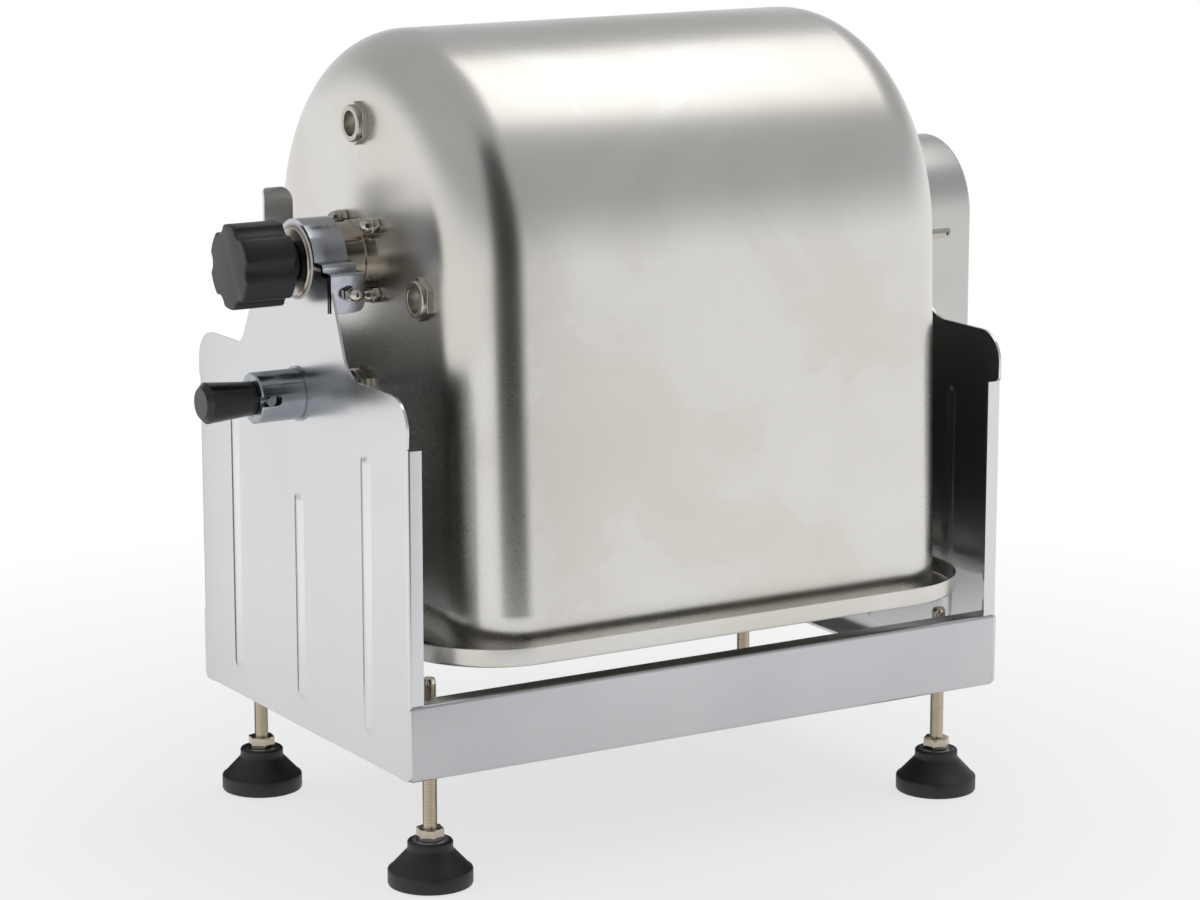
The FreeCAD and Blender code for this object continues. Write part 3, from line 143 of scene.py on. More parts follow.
def moulded(name, colour, rough, grain_mm, depth_mm):
    """Moulded plastic or rubber: a fine even grain, and a slightly uneven shine."""
    material, tree, shader = blank(name)
    place = add(tree, "TexCoord")
    grain = add(tree, "TexNoise", {"Scale": cycles(grain_mm), "Detail": 2}, {"Vector": (place, "Object")})
    broad = add(tree, "TexNoise", {"Scale": cycles(30), "Detail": 3}, {"Vector": (place, "Object")})
    add(tree, "Mix", {"data_type": "RGBA", 6: tint(colour), 7: tint(colour, 1.5)}, {0: (broad, 0)},
        {2: (shader, "Base Color")})
    add(tree, "MapRange", {"To Min": rough - 0.06, "To Max": rough + 0.06}, {"Value": (broad, 0)},
        {0: (shader, "Roughness")})
    add(tree, "Bump", {"Strength": 0.25, "Distance": depth_mm / 1000}, {"Height": (grain, 0)},
        {0: (shader, "Normal")})
    return material


# Streaks are given in millimetres along each axis, drawn coarser than the real grain so that they show
tank_finish = brushed_sheet("satin_drawn_stainless", "#DDDBD7", "#CFCAC0", (14, 1.2, 1.6), 0.27, 150, 0.11)
frame_finish = brushed_sheet("brushed_stainless_sheet", "#D9DADB", "#CFD0D2", (1.2, 1.2, 25), 0.22, 190)
rail_finish = brushed_sheet("ground_stainless_rail", "#C9CACC", "#BDBEC1", (25, 1.2, 1.2), 0.3, 120)
case_finish = brushed_sheet("satin_pressed_stainless", "#C9C9C5", "#BFBFBB", (1.2, 1.2, 25), 0.33, 120)
strap_finish = turned_metal("polished_strap_stainless", "#BFC3CA", 0.16, 0.05)
hub_finish = turned_metal("turned_hub_stainless", "#BDB6A9", 0.22, 0.05)
machined_finish = turned_metal("machined_stainless", "#C4BFB6", 0.24, 0.05)
zinc_finish = turned_metal("bright_zinc_plate", "#A9ADB3", 0.22, 0.06)
bright_finish = turned_metal("polished_stainless_nut", "#CFC9BF", 0.12, 0.04)
rod_finish = turned_metal("nickel_plated_thread", "#E0D7C7", 0.17, 0.05)
jam_nut_finish = turned_metal("nickel_plated_nut", "#BFB5A5", 0.18, 0.05)
gear_finish = turned_metal("oiled_gear_steel", "#8F9092", 0.3, 0.06)
bronze_finish = turned_metal("sintered_bronze", "#B08D57", 0.38, 0.06)
liner_finish = moulded("white_acetal", "#E4E2DA", 0.4, 0.6, 0.02)
seal_finish = moulded("nitrile_rubber", "#1B1B1C", 0.6, 0.5, 0.03)
knob_finish = moulded("black_moulded_nylon", "#1B1C20", 0.4, 0.5, 0.03)
handle_finish = moulded("black_polished_phenolic", "#151517", 0.2, 0.8, 0.01)
pad_finish = moulded("black_moulded_rubber", "#1F1F22", 0.48, 0.6, 0.03)

FINISHES = {"tank_steel": tank_finish, "frame_steel": frame_finish, "machined_steel": machined_finish,
            "zinc_steel": zinc_finish, "bright_fasteners": bright_finish, "nickel_rod": rod_finish,
            "gear_steel": gear_finish, "bronze": bronze_finish, "white_plastic": liner_finish,
            "seal_rubber": seal_finish, "black_plastic": knob_finish, "foot_rubber": pad_finish}
SLOT_OF = {entry["node"]: entry["material_slot"] for entry in frame["record"]["subparts"]}
BODY_OF = {name: body for body, names in frame["record"]["behaviour"]["bodies"].items() for name in names}


# Making pieces
def lathe(profile, steps=72):
    """Spins a profile of (radius, height) points round Z."""
    bm = bmesh.new()
    verts = [bm.verts.new((radius, 0, height)) for radius, height in profile]
    edges = [bm.edges.new(pair) for pair in zip(verts, verts[1:])]
    bmesh.ops.spin(bm, geom=verts + edges, cent=(0, 0, 0), axis=(0, 0, 1), angle=math.tau, steps=steps,
                   use_merge=True)
    bmesh.ops.remove_doubles(bm, verts=bm.verts, dist=1e-4)
    bmesh.ops.recalc_face_normals(bm, faces=bm.faces)
    return bm


def hex_block(flats, height, chamfer):
    """A hexagonal nut blank standing on Z = 0, with its corners eased."""
    bm = bmesh.new()
    bmesh.ops.create_cone(bm, cap_ends=True, segments=6, radius1=flats / math.sqrt(3),
                          radius2=flats / math.sqrt(3), depth=height)
    bmesh.ops.translate(bm, vec=(0, 0, height / 2), verts=bm.verts)
    level = [edge for edge in bm.edges if abs(edge.verts[0].co.z - edge.verts[1].co.z) < 0.01]
    bmesh.ops.bevel(bm, geom=level, offset=chamfer, affect="EDGES", segments=2, profile=0.5, material=-1)
    upright = [edge for edge in bm.edges if abs(edge.verts[0].co.z - edge.verts[1].co.z) > height / 2]
    bmesh.ops.bevel(bm, geom=upright, offset=chamfer / 3, affect="EDGES", segments=2, profile=0.5, material=-1)
    return bm


def put(bm, x, y, z, turn=UPRIGHT):
    bmesh.ops.transform(bm, matrix=Matrix.Translation((x, y, z)) @ turn, verts=bm.verts)
    return bm


def merged(parts):
    """Joins several bmeshes in one."""
    whole = bmesh.new()
    for part in parts:
        spare = bpy.data.meshes.new("spare")
        part.to_mesh(spare)
        whole.from_mesh(spare)
        part.free()
        bpy.data.meshes.remove(spare)
    return whole


def finish_piece(name, bm, stands_for, finish=None, crease=32, scale=0.001):
    """Turns a bmesh in millimetres into a piece that stands for one or more nodes of the frame."""
    nodes = [stands_for] if isinstance(stands_for, str) else stands_for
    bmesh.ops.scale(bm, vec=(scale,) * 3, verts=bm.verts)
    mesh = bpy.data.meshes.new(name)
    bm.to_mesh(mesh)
    bm.free()
    mesh.polygons.foreach_set("use_smooth", [True] * len(mesh.polygons))
    mesh.set_sharp_from_angle(angle=math.radians(crease))
    item = bpy.data.objects.new(name, mesh)
    scene.collection.objects.link(item)
    slot = SLOT_OF[nodes[0]]
    mesh.materials.append(finish or FINISHES[slot])
    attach(item, BODY_OF[nodes[0]])
    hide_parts(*nodes)
    return item


def wall(item, thickness, even=True):
    """Gives a skin its thickness, on its inner side."""
    modifier = item.modifiers.new("wall", "SOLIDIFY")
    modifier.thickness = thickness / 1000
    modifier.offset = -1
    modifier.use_even_offset = even
    return item


def eased(item, width, segments=2):
    """Rounds the sharp edges of a piece."""
    modifier = item.modifiers.new("rounding", "BEVEL")
    modifier.width = width / 1000
    modifier.segments = segments
    modifier.limit_method = "ANGLE"
    modifier.angle_limit = math.radians(38)
    modifier.harden_normals = True
    return item


def flattened(item):
    """Keeps the shading of flat sheet flat, so that only bends and ribs turn the light."""
    modifier = item.modifiers.new("flat_faces", "WEIGHTED_NORMAL")
    modifier.keep_sharp = True
    return item


def dressed(node, rounding=0.4, finish=None):
    """A copy of a node's solid with its flat faces joined up and its edges rounded."""
    bm = bmesh.new()
    bm.from_mesh(frame["nodes"][node].data)
    bmesh.ops.remove_doubles(bm, verts=bm.verts, dist=1e-5)
    bmesh.ops.dissolve_limit(bm, angle_limit=math.radians(0.5), verts=bm.verts, edges=bm.edges)
    return eased(finish_piece(node + "_dressed", bm, node, finish, scale=1), rounding)


# Sheet metal
def outward(bm, direction):
    """Turns the faces of a shape that is open on one side to look, on the whole, in a direction."""
    bmesh.ops.remove_doubles(bm, verts=bm.verts, dist=0.001)
    bmesh.ops.recalc_face_normals(bm, faces=bm.faces)
    bm.normal_update()
    if sum(face.normal.dot(Vector(direction)) * face.calc_area() for face in bm.faces) < 0:
        bmesh.ops.reverse_faces(bm, faces=bm.faces)
    return bm


def sheet_face(corners, x):
    """A flat face at one place along the shaft, from its corners as (Y, Z, corner radius)."""
    bm = bmesh.new()
    verts = [bm.verts.new((x, y, z)) for y, z, _ in corners]
    bm.faces.new(verts)
    for number, (y, z, radius) in enumerate(corners):
        if radius:
            before = Vector(corners[number - 1][:2]) - Vector((y, z))
            after = Vector(corners[(number + 1) % len(corners)][:2]) - Vector((y, z))
            bmesh.ops.bevel(bm, geom=[verts[number]], offset=radius / math.tan(before.angle(after) / 2),
                            affect="VERTICES", segments=10, profile=0.5, material=-1)
    return bm


def arc(radius, start, end, y=0, z=AXIS_Z, steps=24):
    """Points of an arc in the YZ plane, as (Y, Z, 0), between two angles in degrees from +Y."""
    turns = [math.radians(start + (end - start) * step / steps) for step in range(steps + 1)]
    return [(y + radius * math.cos(turn), z + radius * math.sin(turn), 0) for turn in turns]


def slice_sheet(bm, place, across):
    bmesh.ops.bisect_plane(bm, geom=bm.verts[:] + bm.edges[:] + bm.faces[:], dist=0.001, plane_co=place,
                           plane_no=across)


def edges_within(bm, low, high):
    """Open edges whose two ends lie in the box."""
    return [edge for edge in bm.edges if edge.is_boundary
            and all(low[axis] - 0.01 <= vert.co[axis] <= high[axis] + 0.01 for vert in edge.verts
                    for axis in range(3))]


def fold(bm, edges, shift, radius):
    """Turns a flange up from some edges and rounds the fold."""
    grown = bmesh.ops.extrude_edge_only(bm, edges=edges)["geom"]
    fresh = [item for item in grown if isinstance(item, bmesh.types.BMVert)]
    bmesh.ops.translate(bm, vec=shift, verts=fresh)
    bmesh.ops.bevel(bm, geom=[edge for edge in edges if edge.is_valid], offset=radius, affect="EDGES",
                    segments=5, profile=0.5, material=-1)


def press_rib(bm, x, y, top, sign):
    """A long rib with round ends, drawn outwards in soft steps. Its foot lies in the sheet."""
    corners = [(y - RIB_FOOT, RIB_LOW), (y + RIB_FOOT, RIB_LOW), (y + RIB_FOOT, top), (y - RIB_FOOT, top)]
    verts = [bm.verts.new((x, *corner)) for corner in (corners if sign > 0 else corners[::-1])]
    bm.faces.new(verts)
    rounded = bmesh.ops.bevel(bm, geom=verts, offset=RIB_FOOT - 0.4, affect="VERTICES", segments=8,
                              profile=0.5, material=-1)
    rib = rounded["verts"][0].link_faces[0]
    rib.normal_update()
    for inset, rise in ((1.5, 0.15), (1.7, 0.5), (1.6, 0.6), (1.3, 0.45), (0.9, 0.25)):
        bmesh.ops.inset_region(bm, faces=[rib], thickness=inset, depth=rise, use_boundary=True,
                               use_even_offset=True)


def side_plate(sign):
    """A side plate: shouldered neck or round head, three pressed ribs and folded flanges."""
    x = HALF_SPAN * sign
    base = [(-HALF_DEPTH, FRAME_BOTTOM, 6), (HALF_DEPTH, FRAME_BOTTOM, 6), (HALF_DEPTH, SHOULDER_Z, 22),
            (87, SHOULDER_Z, 12)]
    if sign < 0:
        mouth = math.degrees(math.asin((AXIS_Z - SADDLE_Z) / SADDLE_RADIUS))
        top = [(50, SADDLE_Z, 1)] + arc(SADDLE_RADIUS, -mouth, mouth - 180) + [(-48.5, SADDLE_Z, 1)]
    else:
        top = arc(HEAD_RADIUS, 0, 180)
    bm = sheet_face(base + top + [(-74, SHOULDER_Z, 24), (-HALF_DEPTH, SHOULDER_Z, 22)], x)
    bmesh.ops.delete(bm, geom=list(bm.faces), context="FACES_ONLY")
    for y, rib_top in RIB_TOPS.items():
        press_rib(bm, x, y, rib_top, sign)
    bmesh.ops.triangle_fill(bm, use_beauty=True, normal=(sign, 0, 0),
                            edges=[edge for edge in bm.edges if len(edge.link_faces) < 2])
    reach = HALF_DEPTH - RAIL_FLANGE
    for height in (RAIL_TOP, FLANGE_TOP, FLANGE_TOP + 1.5):
        slice_sheet(bm, (x, 0, height), (0, 0, 1))
    for y in (-reach, reach):
        slice_sheet(bm, (x, y, 0), (0, 1, 0))
    for y in (-HALF_DEPTH, HALF_DEPTH):
        fold(bm, edges_within(bm, (x, y, RAIL_TOP), (x, y, FLANGE_TOP)), (-SIDE_FLANGE * sign, 0, 0), 2.4)
    fold(bm, edges_within(bm, (x, -reach, FRAME_BOTTOM), (x, reach, FRAME_BOTTOM)),
         (-FLOOR_FLANGE * sign, 0, 0), 2)
    return outward(bm, (sign, 0, 0))


def bent_strip(path, left, right, corner=0, bends=None):
    """A strip that runs through (Y, Z) points and is drawn along X. Its first end has rounded corners."""
    bm = bmesh.new()
    verts = [bm.verts.new((left, point[0], point[1])) for point in path]
    edges = [bm.edges.new(pair) for pair in zip(verts, verts[1:])]
    grown = bmesh.ops.extrude_edge_only(bm, edges=edges)["geom"]
    bmesh.ops.translate(bm, vec=(right - left, 0, 0),
                        verts=[item for item in grown if isinstance(item, bmesh.types.BMVert)])
    for (y, z), radius in (bends or {}).items():
        bend = [edge for edge in bm.edges if not edge.is_boundary
                and math.hypot(edge.verts[0].co.y - y, edge.verts[0].co.z - z) < 0.1]
        bmesh.ops.bevel(bm, geom=bend, offset=radius, affect="EDGES", segments=5, profile=0.5, material=-1)
    if corner:
        tips = [vert for vert in bm.verts if vert.co.x > right - 0.1
                and any(math.hypot(vert.co.y - y, vert.co.z - z) < 0.1 for y, z in (path[0][:2], path[-1][:2]))]
        bmesh.ops.bevel(bm, geom=tips, offset=corner, affect="VERTICES", segments=6, profile=0.5, material=-1)
    bmesh.ops.recalc_face_normals(bm, faces=bm.faces)
    return bm


# Tank: a drawn U whose end walls meet the skin in a wide round
def tank_skin():
    """Half a section spun over the top, then drawn down to the mouth on both sides."""
    bm = bmesh.new()
    tilt = math.atan2(MOUTH_HALF - TANK_RADIUS, AXIS_Z - MOUTH_Z)
    flat = TANK_RADIUS - TANK_CORNER
    quarter = [math.radians(step * 90 / 12) for step in range(13)]
    reach = [flat * step / 4 for step in range(4)]
    section = [(TANK_LEFT, radius) for radius in reach]
    section += [(TANK_LEFT + TANK_CORNER * (1 - math.cos(turn)), flat + TANK_CORNER * math.sin(turn))
                for turn in quarter]
    middle = (TANK_RIGHT - TANK_LEFT - 2 * TANK_CORNER) / 4
    section += [(TANK_LEFT + TANK_CORNER + middle * step, TANK_RADIUS) for step in (1, 2, 3)]
    section += [(TANK_RIGHT - TANK_CORNER * (1 - math.cos(turn)), flat + TANK_CORNER * math.sin(turn))
                for turn in reversed(quarter)]
    section += [(TANK_RIGHT, radius) for radius in reversed(reach)]
    verts = [bm.verts.new((x, radius, 0)) for x, radius in section]
    edges = [bm.edges.new(pair) for pair in zip(verts, verts[1:])]
    bmesh.ops.rotate(bm, cent=(0, 0, 0), matrix=Matrix.Rotation(tilt, 3, "X"), verts=verts)
    spun = bmesh.ops.spin(bm, geom=verts + edges, cent=(0, 0, 0), axis=(1, 0, 0), angle=math.pi - 2 * tilt,
                          steps=48)
    far = [item for item in spun["geom_last"] if isinstance(item, bmesh.types.BMEdge)]
    levels = 8
    for sign, chain in ((1, edges), (-1, far)):
        starts = {vert: vert.co.copy() for edge in chain for vert in edge.verts}
        goals = {vert: Vector((place.x, sign * math.hypot(place.y, place.z) * MOUTH_HALF / TANK_RADIUS,
                               MOUTH_Z - AXIS_Z)) for vert, place in starts.items()}
        for level in range(1, levels + 1):
            grown = bmesh.ops.extrude_edge_only(bm, edges=chain)["geom"]
            fresh = [item for item in grown if isinstance(item, bmesh.types.BMVert)]
            above = {vert: next(edge.other_vert(vert) for edge in vert.link_edges
                                if edge.other_vert(vert) in starts) for vert in fresh}
            starts = {vert: starts[upper] for vert, upper in above.items()}
            goals = {vert: goals[upper] for vert, upper in above.items()}
            for vert in fresh:
                vert.co = starts[vert].lerp(goals[vert], level / levels)
            chain = [item for item in grown if isinstance(item, bmesh.types.BMEdge)
                     and item.verts[0] in starts and item.verts[1] in starts]
    bmesh.ops.translate(bm, vec=(0, 0, AXIS_Z), verts=bm.verts)
    return outward(bm, (0, 0, 1))


def round_outline(left, right, half, corner):
    """A flat face with round corners at the mouth's height."""
    bm = bmesh.new()
    places = [(left, -half), (right, -half), (right, half), (left, half)]
    bm.faces.new([bm.verts.new((x, y, MOUTH_Z)) for x, y in places])
    bmesh.ops.bevel(bm, geom=list(bm.verts), offset=corner, affect="VERTICES", segments=12, profile=0.5,
                    material=-1)
    return bm


def tank_gutter():
    """The ledge round the mouth and its turned-up lip, drawn on the sheet's lower and outer face."""
    bm = merged([round_outline(TANK_LEFT, TANK_RIGHT, MOUTH_HALF, TANK_CORNER),
                 round_outline(RIM_LEFT, RIM_RIGHT, RIM_HALF, RIM_CORNER)])
    bmesh.ops.delete(bm, geom=list(bm.faces), context="FACES_ONLY")
    rim = list(bm.edges)[len(bm.edges) // 2:]
    bmesh.ops.bridge_loops(bm, edges=list(bm.edges))
    lifted = bmesh.ops.extrude_edge_only(bm, edges=rim)["geom"]
    bmesh.ops.translate(bm, vec=(0, 0, RIM_LIP),
                        verts=[item for item in lifted if isinstance(item, bmesh.types.BMVert)])
    outward(bm, (0, 0, -1))
    corner = [edge for edge in bm.edges if not edge.is_boundary and edge.calc_face_angle() > math.radians(60)]
    bmesh.ops.bevel(bm, geom=corner, offset=2.5, affect="EDGES", segments=5, profile=0.5, material=-1)
    return bm


wall(finish_piece("tank_skin", tank_skin(), "tank_shell", crease=60), TANK_SKIN)
eased(wall(finish_piece("tank_gutter", tank_gutter(), "tank_rim", crease=60), TANK_SKIN), 0.5)

# Frame: two bent side plates and two channel rails
EAR = {"y": -50, "low": 379.5, "high": 403.5, "right": -215.5}
TAB = {"y": 49, "low": 374.5, "bend": 446, "high": 452, "right": -218, "curl": 2}
LUG_WALL = 3
ear_strip = bent_strip([(EAR["y"], EAR["low"]), (EAR["y"], EAR["high"])], -HALF_SPAN, EAR["right"], 6)


def curled_tab():
    """An upright tab with a round corner, its top end curled back."""
    bm = bmesh.new()
    places = [(-HALF_SPAN, TAB["low"]), (TAB["right"], TAB["low"]), (TAB["right"], TAB["high"]),
              (-HALF_SPAN, TAB["high"])]
    verts = [bm.verts.new((x, TAB["y"], z)) for x, z in places]
    bm.faces.new(verts)
    for vert, corner in ((verts[1], 7), (verts[2], 9), (verts[3], 3)):
        bmesh.ops.bevel(bm, geom=[vert], offset=corner, affect="VERTICES", segments=8, profile=0.5, material=-1)
    rise = TAB["high"] - TAB["bend"]
    for step in range(5):
        slice_sheet(bm, (0, TAB["y"], TAB["bend"] + rise * step / 5), (0, 0, 1))
    for vert in bm.verts:
        vert.co.y += TAB["curl"] * max(0, (vert.co.z - TAB["bend"]) / rise) ** 2
    return outward(bm, (0, 1, 0))


flattened(eased(wall(finish_piece("left_plate_sheet", side_plate(-1), "left_side_plate", crease=50), SHEET, False), 0.3))
eased(wall(finish_piece("strap_ear", outward(ear_strip, (0, -1, 0)), "left_side_plate"), LUG_WALL), 0.4)
eased(wall(finish_piece("curled_tab", curled_tab(), "left_side_plate"), LUG_WALL), 0.4)
flattened(eased(wall(finish_piece("right_plate_sheet", side_plate(1), "right_side_plate", crease=50), SHEET, False), 0.3))
for side, sign in (("front", -1), ("rear", 1)):
    edge, inner = HALF_DEPTH * sign, (HALF_DEPTH - RAIL_FLANGE) * sign
    channel = bent_strip([(inner, RAIL_TOP), (edge, RAIL_TOP), (edge, FRAME_BOTTOM), (inner, FRAME_BOTTOM)],
                         SHEET - HALF_SPAN, HALF_SPAN - SHEET,
                         bends={(edge, RAIL_TOP): 3, (edge, FRAME_BOTTOM): 3})
    eased(wall(finish_piece(side + "_channel", outward(channel, (0, sign, 0)), side + "_rail", rail_finish, 50),
               SHEET), 0.3)

# Strap over the hub. The outer path steps down from the arch to a lug on each side
STRAP_RADIUS, STRAP_STEP, STRAP_RIGHT = 29.05, 41.05, -215
LUG_FRONT, LUG_REAR, LUG_LOW = -53, 46, 380.5
shelf = AXIS_Z + LUG_WALL
lean = math.degrees(math.asin(LUG_WALL / STRAP_RADIUS))
path = [(LUG_FRONT, LUG_LOW), (LUG_FRONT, AXIS_Z - 2), (-STRAP_STEP, AXIS_Z - 2), (-STRAP_STEP, shelf)]
path += arc(STRAP_RADIUS, 180 - lean, lean) + [(LUG_REAR, shelf), (LUG_REAR, LUG_LOW)]
strap = bent_strip(path, -HALF_SPAN, STRAP_RIGHT, 6,
                   {(LUG_FRONT, AXIS_Z - 2): 2, (-STRAP_STEP, shelf): 2.5, (LUG_REAR, shelf): 3})
eased(wall(finish_piece("hub_strap", outward(strap, (0, 0, 1)), "bearing_strap", strap_finish), LUG_WALL), 0.5)


# Knob, handle and feet
def star_knob():
    """A round blank with six scallops, its rims eased, on a short neck."""
    bm = bmesh.new()
    bmesh.ops.create_circle(bm, cap_ends=True, radius=KNOB_RADIUS, segments=144)
    for vert in bm.verts:
        turn = math.atan2(vert.co.y, vert.co.x)
        off = (turn + math.pi / 3) % (math.pi / 3) - math.pi / 6
        if abs(off) < math.asin(SCALLOP_RADIUS / SCALLOP_CIRCLE):
            near = SCALLOP_CIRCLE * math.cos(off) - math.sqrt(
                SCALLOP_RADIUS ** 2 - (SCALLOP_CIRCLE * math.sin(off)) ** 2)
            vert.co *= min(1, near / KNOB_RADIUS)
    grown = bmesh.ops.extrude_face_region(bm, geom=list(bm.faces))["geom"]
    bmesh.ops.translate(bm, vec=(0, 0, KNOB_LENGTH),
                        verts=[item for item in grown if isinstance(item, bmesh.types.BMVert)])
    bmesh.ops.recalc_face_normals(bm, faces=bm.faces)
    rims = [edge for edge in bm.edges if abs(edge.verts[0].co.z - edge.verts[1].co.z) < 0.01]
    bmesh.ops.bevel(bm, geom=rims, offset=1.8, affect="EDGES", segments=4, profile=0.5, material=-1)
    neck = lathe([(0, -KNOB_NECK), (13.2, -KNOB_NECK), (14, 0.8 - KNOB_NECK), (14, 0.5), (0, 0.5)])
    return merged([bm, neck])


KNOB_RADIUS, KNOB_LENGTH, KNOB_NECK, KNOB_START = 29, 37.5, 9.5, -252.4
SCALLOP_RADIUS, SCALLOP_CIRCLE = 9, 34.5
finish_piece("hand_knob", put(star_knob(), KNOB_START, 0, AXIS_Z, TO_LEFT), "star_knob", knob_finish)
handle = lathe([(0, 0), (11, 0), (11.5, 0.5), (14.2, 34.6), (10.8, 38.2), (10.4, 38.5), (0, 38.5)])
finish_piece("pull_handle", put(handle, -274, 0, LOCK_Z, TO_LEFT), "lock_handle", handle_finish)

PAD_PROFILE = [(0, 0), (27.6, 0), (28.5, 0.4), (29, 1.4), (29, 10.2), (28.6, 11), (27.6, 11.5), (16.6, 23.4),
               (15.8, 24.4), (15.5, 25.6), (15.5, 29.6), (14.9, 30.5), (13.8, 31), (12.8, 31), (12.8, 30.5), (0, 30.5)]
INSERT_PROFILE = [(0, 30.6), (12.7, 30.6), (12.7, 30.8), (12.5, 31), (0, 31)]
THREAD_PITCH, ROD_RADIUS, THREAD_DEPTH = 1.5, 5, 0.9
ROD_TOPS = {-1: 143, 1: 136}
for name, (side, depth) in CORNERS.items():
    x, y = side * FOOT_X, depth * FOOT_Y
    finish_piece(name + "_pad", put(lathe(PAD_PROFILE), x, y, 0), name + "_foot_pad")
    finish_piece(name + "_insert", put(lathe(INSERT_PROFILE), x, y, 0), name + "_foot_pad", zinc_finish)
    top = ROD_TOPS[side]
    thread = [(0, ROD_SEAT), (ROD_RADIUS - THREAD_DEPTH, ROD_SEAT)]
    for turn in range(int((top - 2 - ROD_SEAT) / THREAD_PITCH)):
        low = ROD_SEAT + 0.5 + turn * THREAD_PITCH
        thread += [(ROD_RADIUS - THREAD_DEPTH, low), (ROD_RADIUS, low + 0.6), (ROD_RADIUS, low + 0.8)]
    thread += [(ROD_RADIUS - 1, top), (0, top)]
    finish_piece(name + "_thread", put(lathe(thread, 28), x, y, 0), name + "_foot_rod", rod_finish, 40)
    nut = put(hex_block(17, JAM_NUT, 0.9), x, y, PAD_TOP, Matrix.Rotation(math.radians(11 * side), 4, "Z"))
    finish_piece(name + "_nut", nut, name + "_jam_nut", jam_nut_finish)


# Cap nuts: a hexagon with a domed end
def cap_nut(x, y, z, turn):
    dome = lathe([(0, 5), (4.7, 5), (4.75, 6.6), (4.55, 8.4), (4.0, 10.2), (3.0, 11.8), (1.6, 12.7), (0, 13)], 36)
    return put(merged([hex_block(10, 5.5, 0.7), dome]), x, y, z, turn)


around = [math.radians(45 + 90 * step) for step in range(4)]
hub_nuts = [cap_nut(x, BOLT_CIRCLE * math.cos(turn), AXIS_Z + BOLT_CIRCLE * math.sin(turn), way)
            for x, way in ((TANK_LEFT, TO_LEFT), (TANK_RIGHT, TO_RIGHT)) for turn in around]
finish_piece("hub_domes", merged(hub_nuts), "hub_cap_nuts")
strap_nuts = [cap_nut(-225.75, LUG_FRONT, STUD_Z, TO_FRONT), cap_nut(-229, TAB["y"], STUD_Z, TO_BACK)]
finish_piece("strap_domes", merged(strap_nuts), "strap_cap_nuts")


# Gear case: a pressed arch, open at the back
def case_cover():
    low, half, corner = CASE_LOW, CASE_RADIUS, CASE_CORNER
    bm = sheet_face([(-half, low, corner), (half, low, corner)] + arc(half, 0, 180, steps=36), CASE_OUT)
    rim = list(bm.edges)
    grown = bmesh.ops.extrude_edge_only(bm, edges=rim)["geom"]
    bmesh.ops.translate(bm, vec=(HALF_SPAN - CASE_OUT, 0, 0),
                        verts=[item for item in grown if isinstance(item, bmesh.types.BMVert)])
    bmesh.ops.bevel(bm, geom=[edge for edge in rim if edge.is_valid], offset=3, affect="EDGES", segments=5,
                    profile=0.5, material=-1)
    return outward(bm, (1, 0, 0))


eased(wall(finish_piece("case_cover", case_cover(), "gear_case", case_finish, 50), TANK_SKIN), 0.3)

# Everything else keeps its solid's shape with rounded edges
REMADE = {"tank_shell", "tank_rim", "left_side_plate", "right_side_plate", "front_rail", "rear_rail",
          "bearing_strap", "star_knob", "lock_handle", "hub_cap_nuts", "strap_cap_nuts", "gear_case"}
REMADE |= {corner + part for corner in CORNERS for part in ("_foot_pad", "_foot_rod", "_jam_nut")}
OWN_FINISH = {"left_hub": hub_finish, "right_hub": hub_finish}
for node in frame["nodes"]:
    if node not in REMADE:
        dressed(node, finish=OWN_FINISH.get(node))


# Floor, light and camera
def flat_piece(name, width, height, material, place, turn=UPRIGHT):
    """A flat sheet of the stage, which isn't part of the object."""
    bm = bmesh.new()
    bmesh.ops.create_grid(bm, x_segments=1, y_segments=1, size=0.5)
    bmesh.ops.scale(bm, vec=(width, height, 1), verts=bm.verts)
    mesh = bpy.data.meshes.new(name)
    bm.to_mesh(mesh)
    bm.free()
    mesh.materials.append(material)
    item = bpy.data.objects.new(name, mesh)
    item.matrix_world = Matrix.Translation(place) @ turn
    scene.collection.objects.link(item)
    return item


def seen_rays(tree):
    """One for camera, glossy and transmission rays."""
    path = add(tree, "LightPath")
    first = add(tree, "Math", {"operation": "MAXIMUM"}, {0: (path, "Is Camera Ray"), 1: (path, "Is Glossy Ray")})
    return add(tree, "Math", {"operation": "MAXIMUM"}, {0: (first, 0), 1: (path, "Is Transmission Ray")})


# Studio paper: matt, and white away from the object, where the photo's background is white
paper, tree, shader = blank("pale_studio_paper", Roughness=0.9, Base_Color=tint("#F4F4F4"))
place = add(tree, "TexCoord")
away = add(tree, "VectorMath", {"operation": "LENGTH"}, {0: (place, "Object")})
fade = add(tree, "MapRange", {"From Min": 0.3, "From Max": 0.9, "To Min": 0.7, "To Max": 1}, {"Value": (away, 1)})
share = add(tree, "Math", {"operation": "MULTIPLY"}, {0: (fade, 0), 1: (seen_rays(tree), 0)})
glow = add(tree, "Emission", {"Color": (1, 1, 1, 1), "Strength": 1})
add(tree, "MixShader", {}, {0: (share, 0), 1: (shader, 0), 2: (glow, 0)},
    {0: (tree.nodes["Material Output"], "Surface")})
flat_piece("floor", 60, 60, paper, (0, 0, -0.0005))

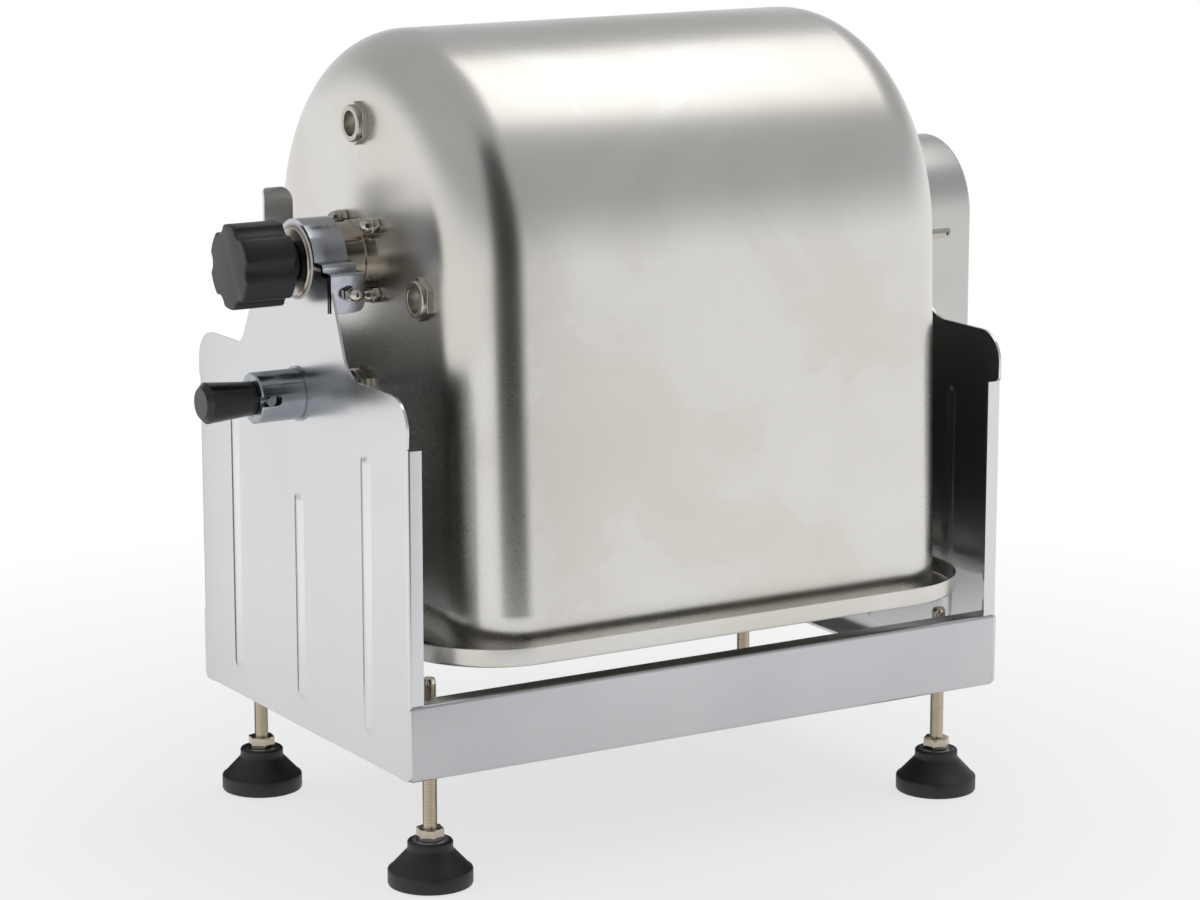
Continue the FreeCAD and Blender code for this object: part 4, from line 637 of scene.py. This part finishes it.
# Cards seen only in the object's shine: black ones in front and behind, and a bright one at the left
black_card, tree, shader = blank("black_card", Roughness=0.9, Base_Color=tint("#3A3835"))
bright_card, tree, shader = blank("bright_card", Base_Color=(0, 0, 0, 1), Emission_Color=(1, 1, 1, 1),
                                  Emission_Strength=1.15)
for name, width, height, spot, turn, surface in (
        ("front_card", 0.78, 2.0, (-0.29, -0.94, 1.0), TO_FRONT, black_card),
        ("back_card", 0.95, 0.32, (0.165, 0.37, 0.16), TO_FRONT, black_card),
        ("left_card", 0.17, 0.6, (-0.75, 0.2, 0.086), TO_SIDE, bright_card)):
    shade = flat_piece(name, width, height, surface, spot, turn)
    shade.visible_camera = shade.visible_diffuse = shade.visible_shadow = False

world = bpy.data.worlds.new("studio")
scene.world = world
world.use_nodes = True
tree = world.node_tree
sky = tree.nodes["Background"]
sky.inputs["Color"].default_value = (0.97, 0.98, 1, 1)
place = add(tree, "TexCoord")
parts = add(tree, "SeparateXYZ", {}, {0: (place, "Generated")})
level = add(tree, "MapRange", {"From Min": 0, "From Max": 0.36, "To Min": 1, "To Max": 0.5}, {"Value": (parts, "Z")})
camera_ray = add(tree, "LightPath")
add(tree, "Math", {"operation": "MAXIMUM"}, {0: (level, 0), 1: (camera_ray, "Is Camera Ray")},
    {0: (sky, "Strength")})


def softbox(name, place, aim, width, height, power):
    lamp = bpy.data.lights.new(name, "AREA")
    lamp.shape = "RECTANGLE"
    lamp.size, lamp.size_y, lamp.energy = width, height, power
    item = bpy.data.objects.new(name, lamp)
    item.location = place
    item.rotation_euler = (Vector(aim) - Vector(place)).to_track_quat("-Z", "Y").to_euler()
    scene.collection.objects.link(item)


softbox("overhead_softbox", (1.0, 0.1, 2.2), (0, 0, 0.3), 1.6, 1.1, 7)

camera = bpy.data.cameras.new("camera")
camera.sensor_width = 36
camera.lens = 112.57
viewer = bpy.data.objects.new("camera", camera)
viewer.location = (-1.3615, -2.2574, 0.8071)
viewer.rotation_euler = (Vector((0.00106, 0, 0.25226)) - viewer.location).to_track_quat("-Z", "Y").to_euler()
scene.collection.objects.link(viewer)
scene.camera = viewer
scene.view_settings.view_transform = "Standard"
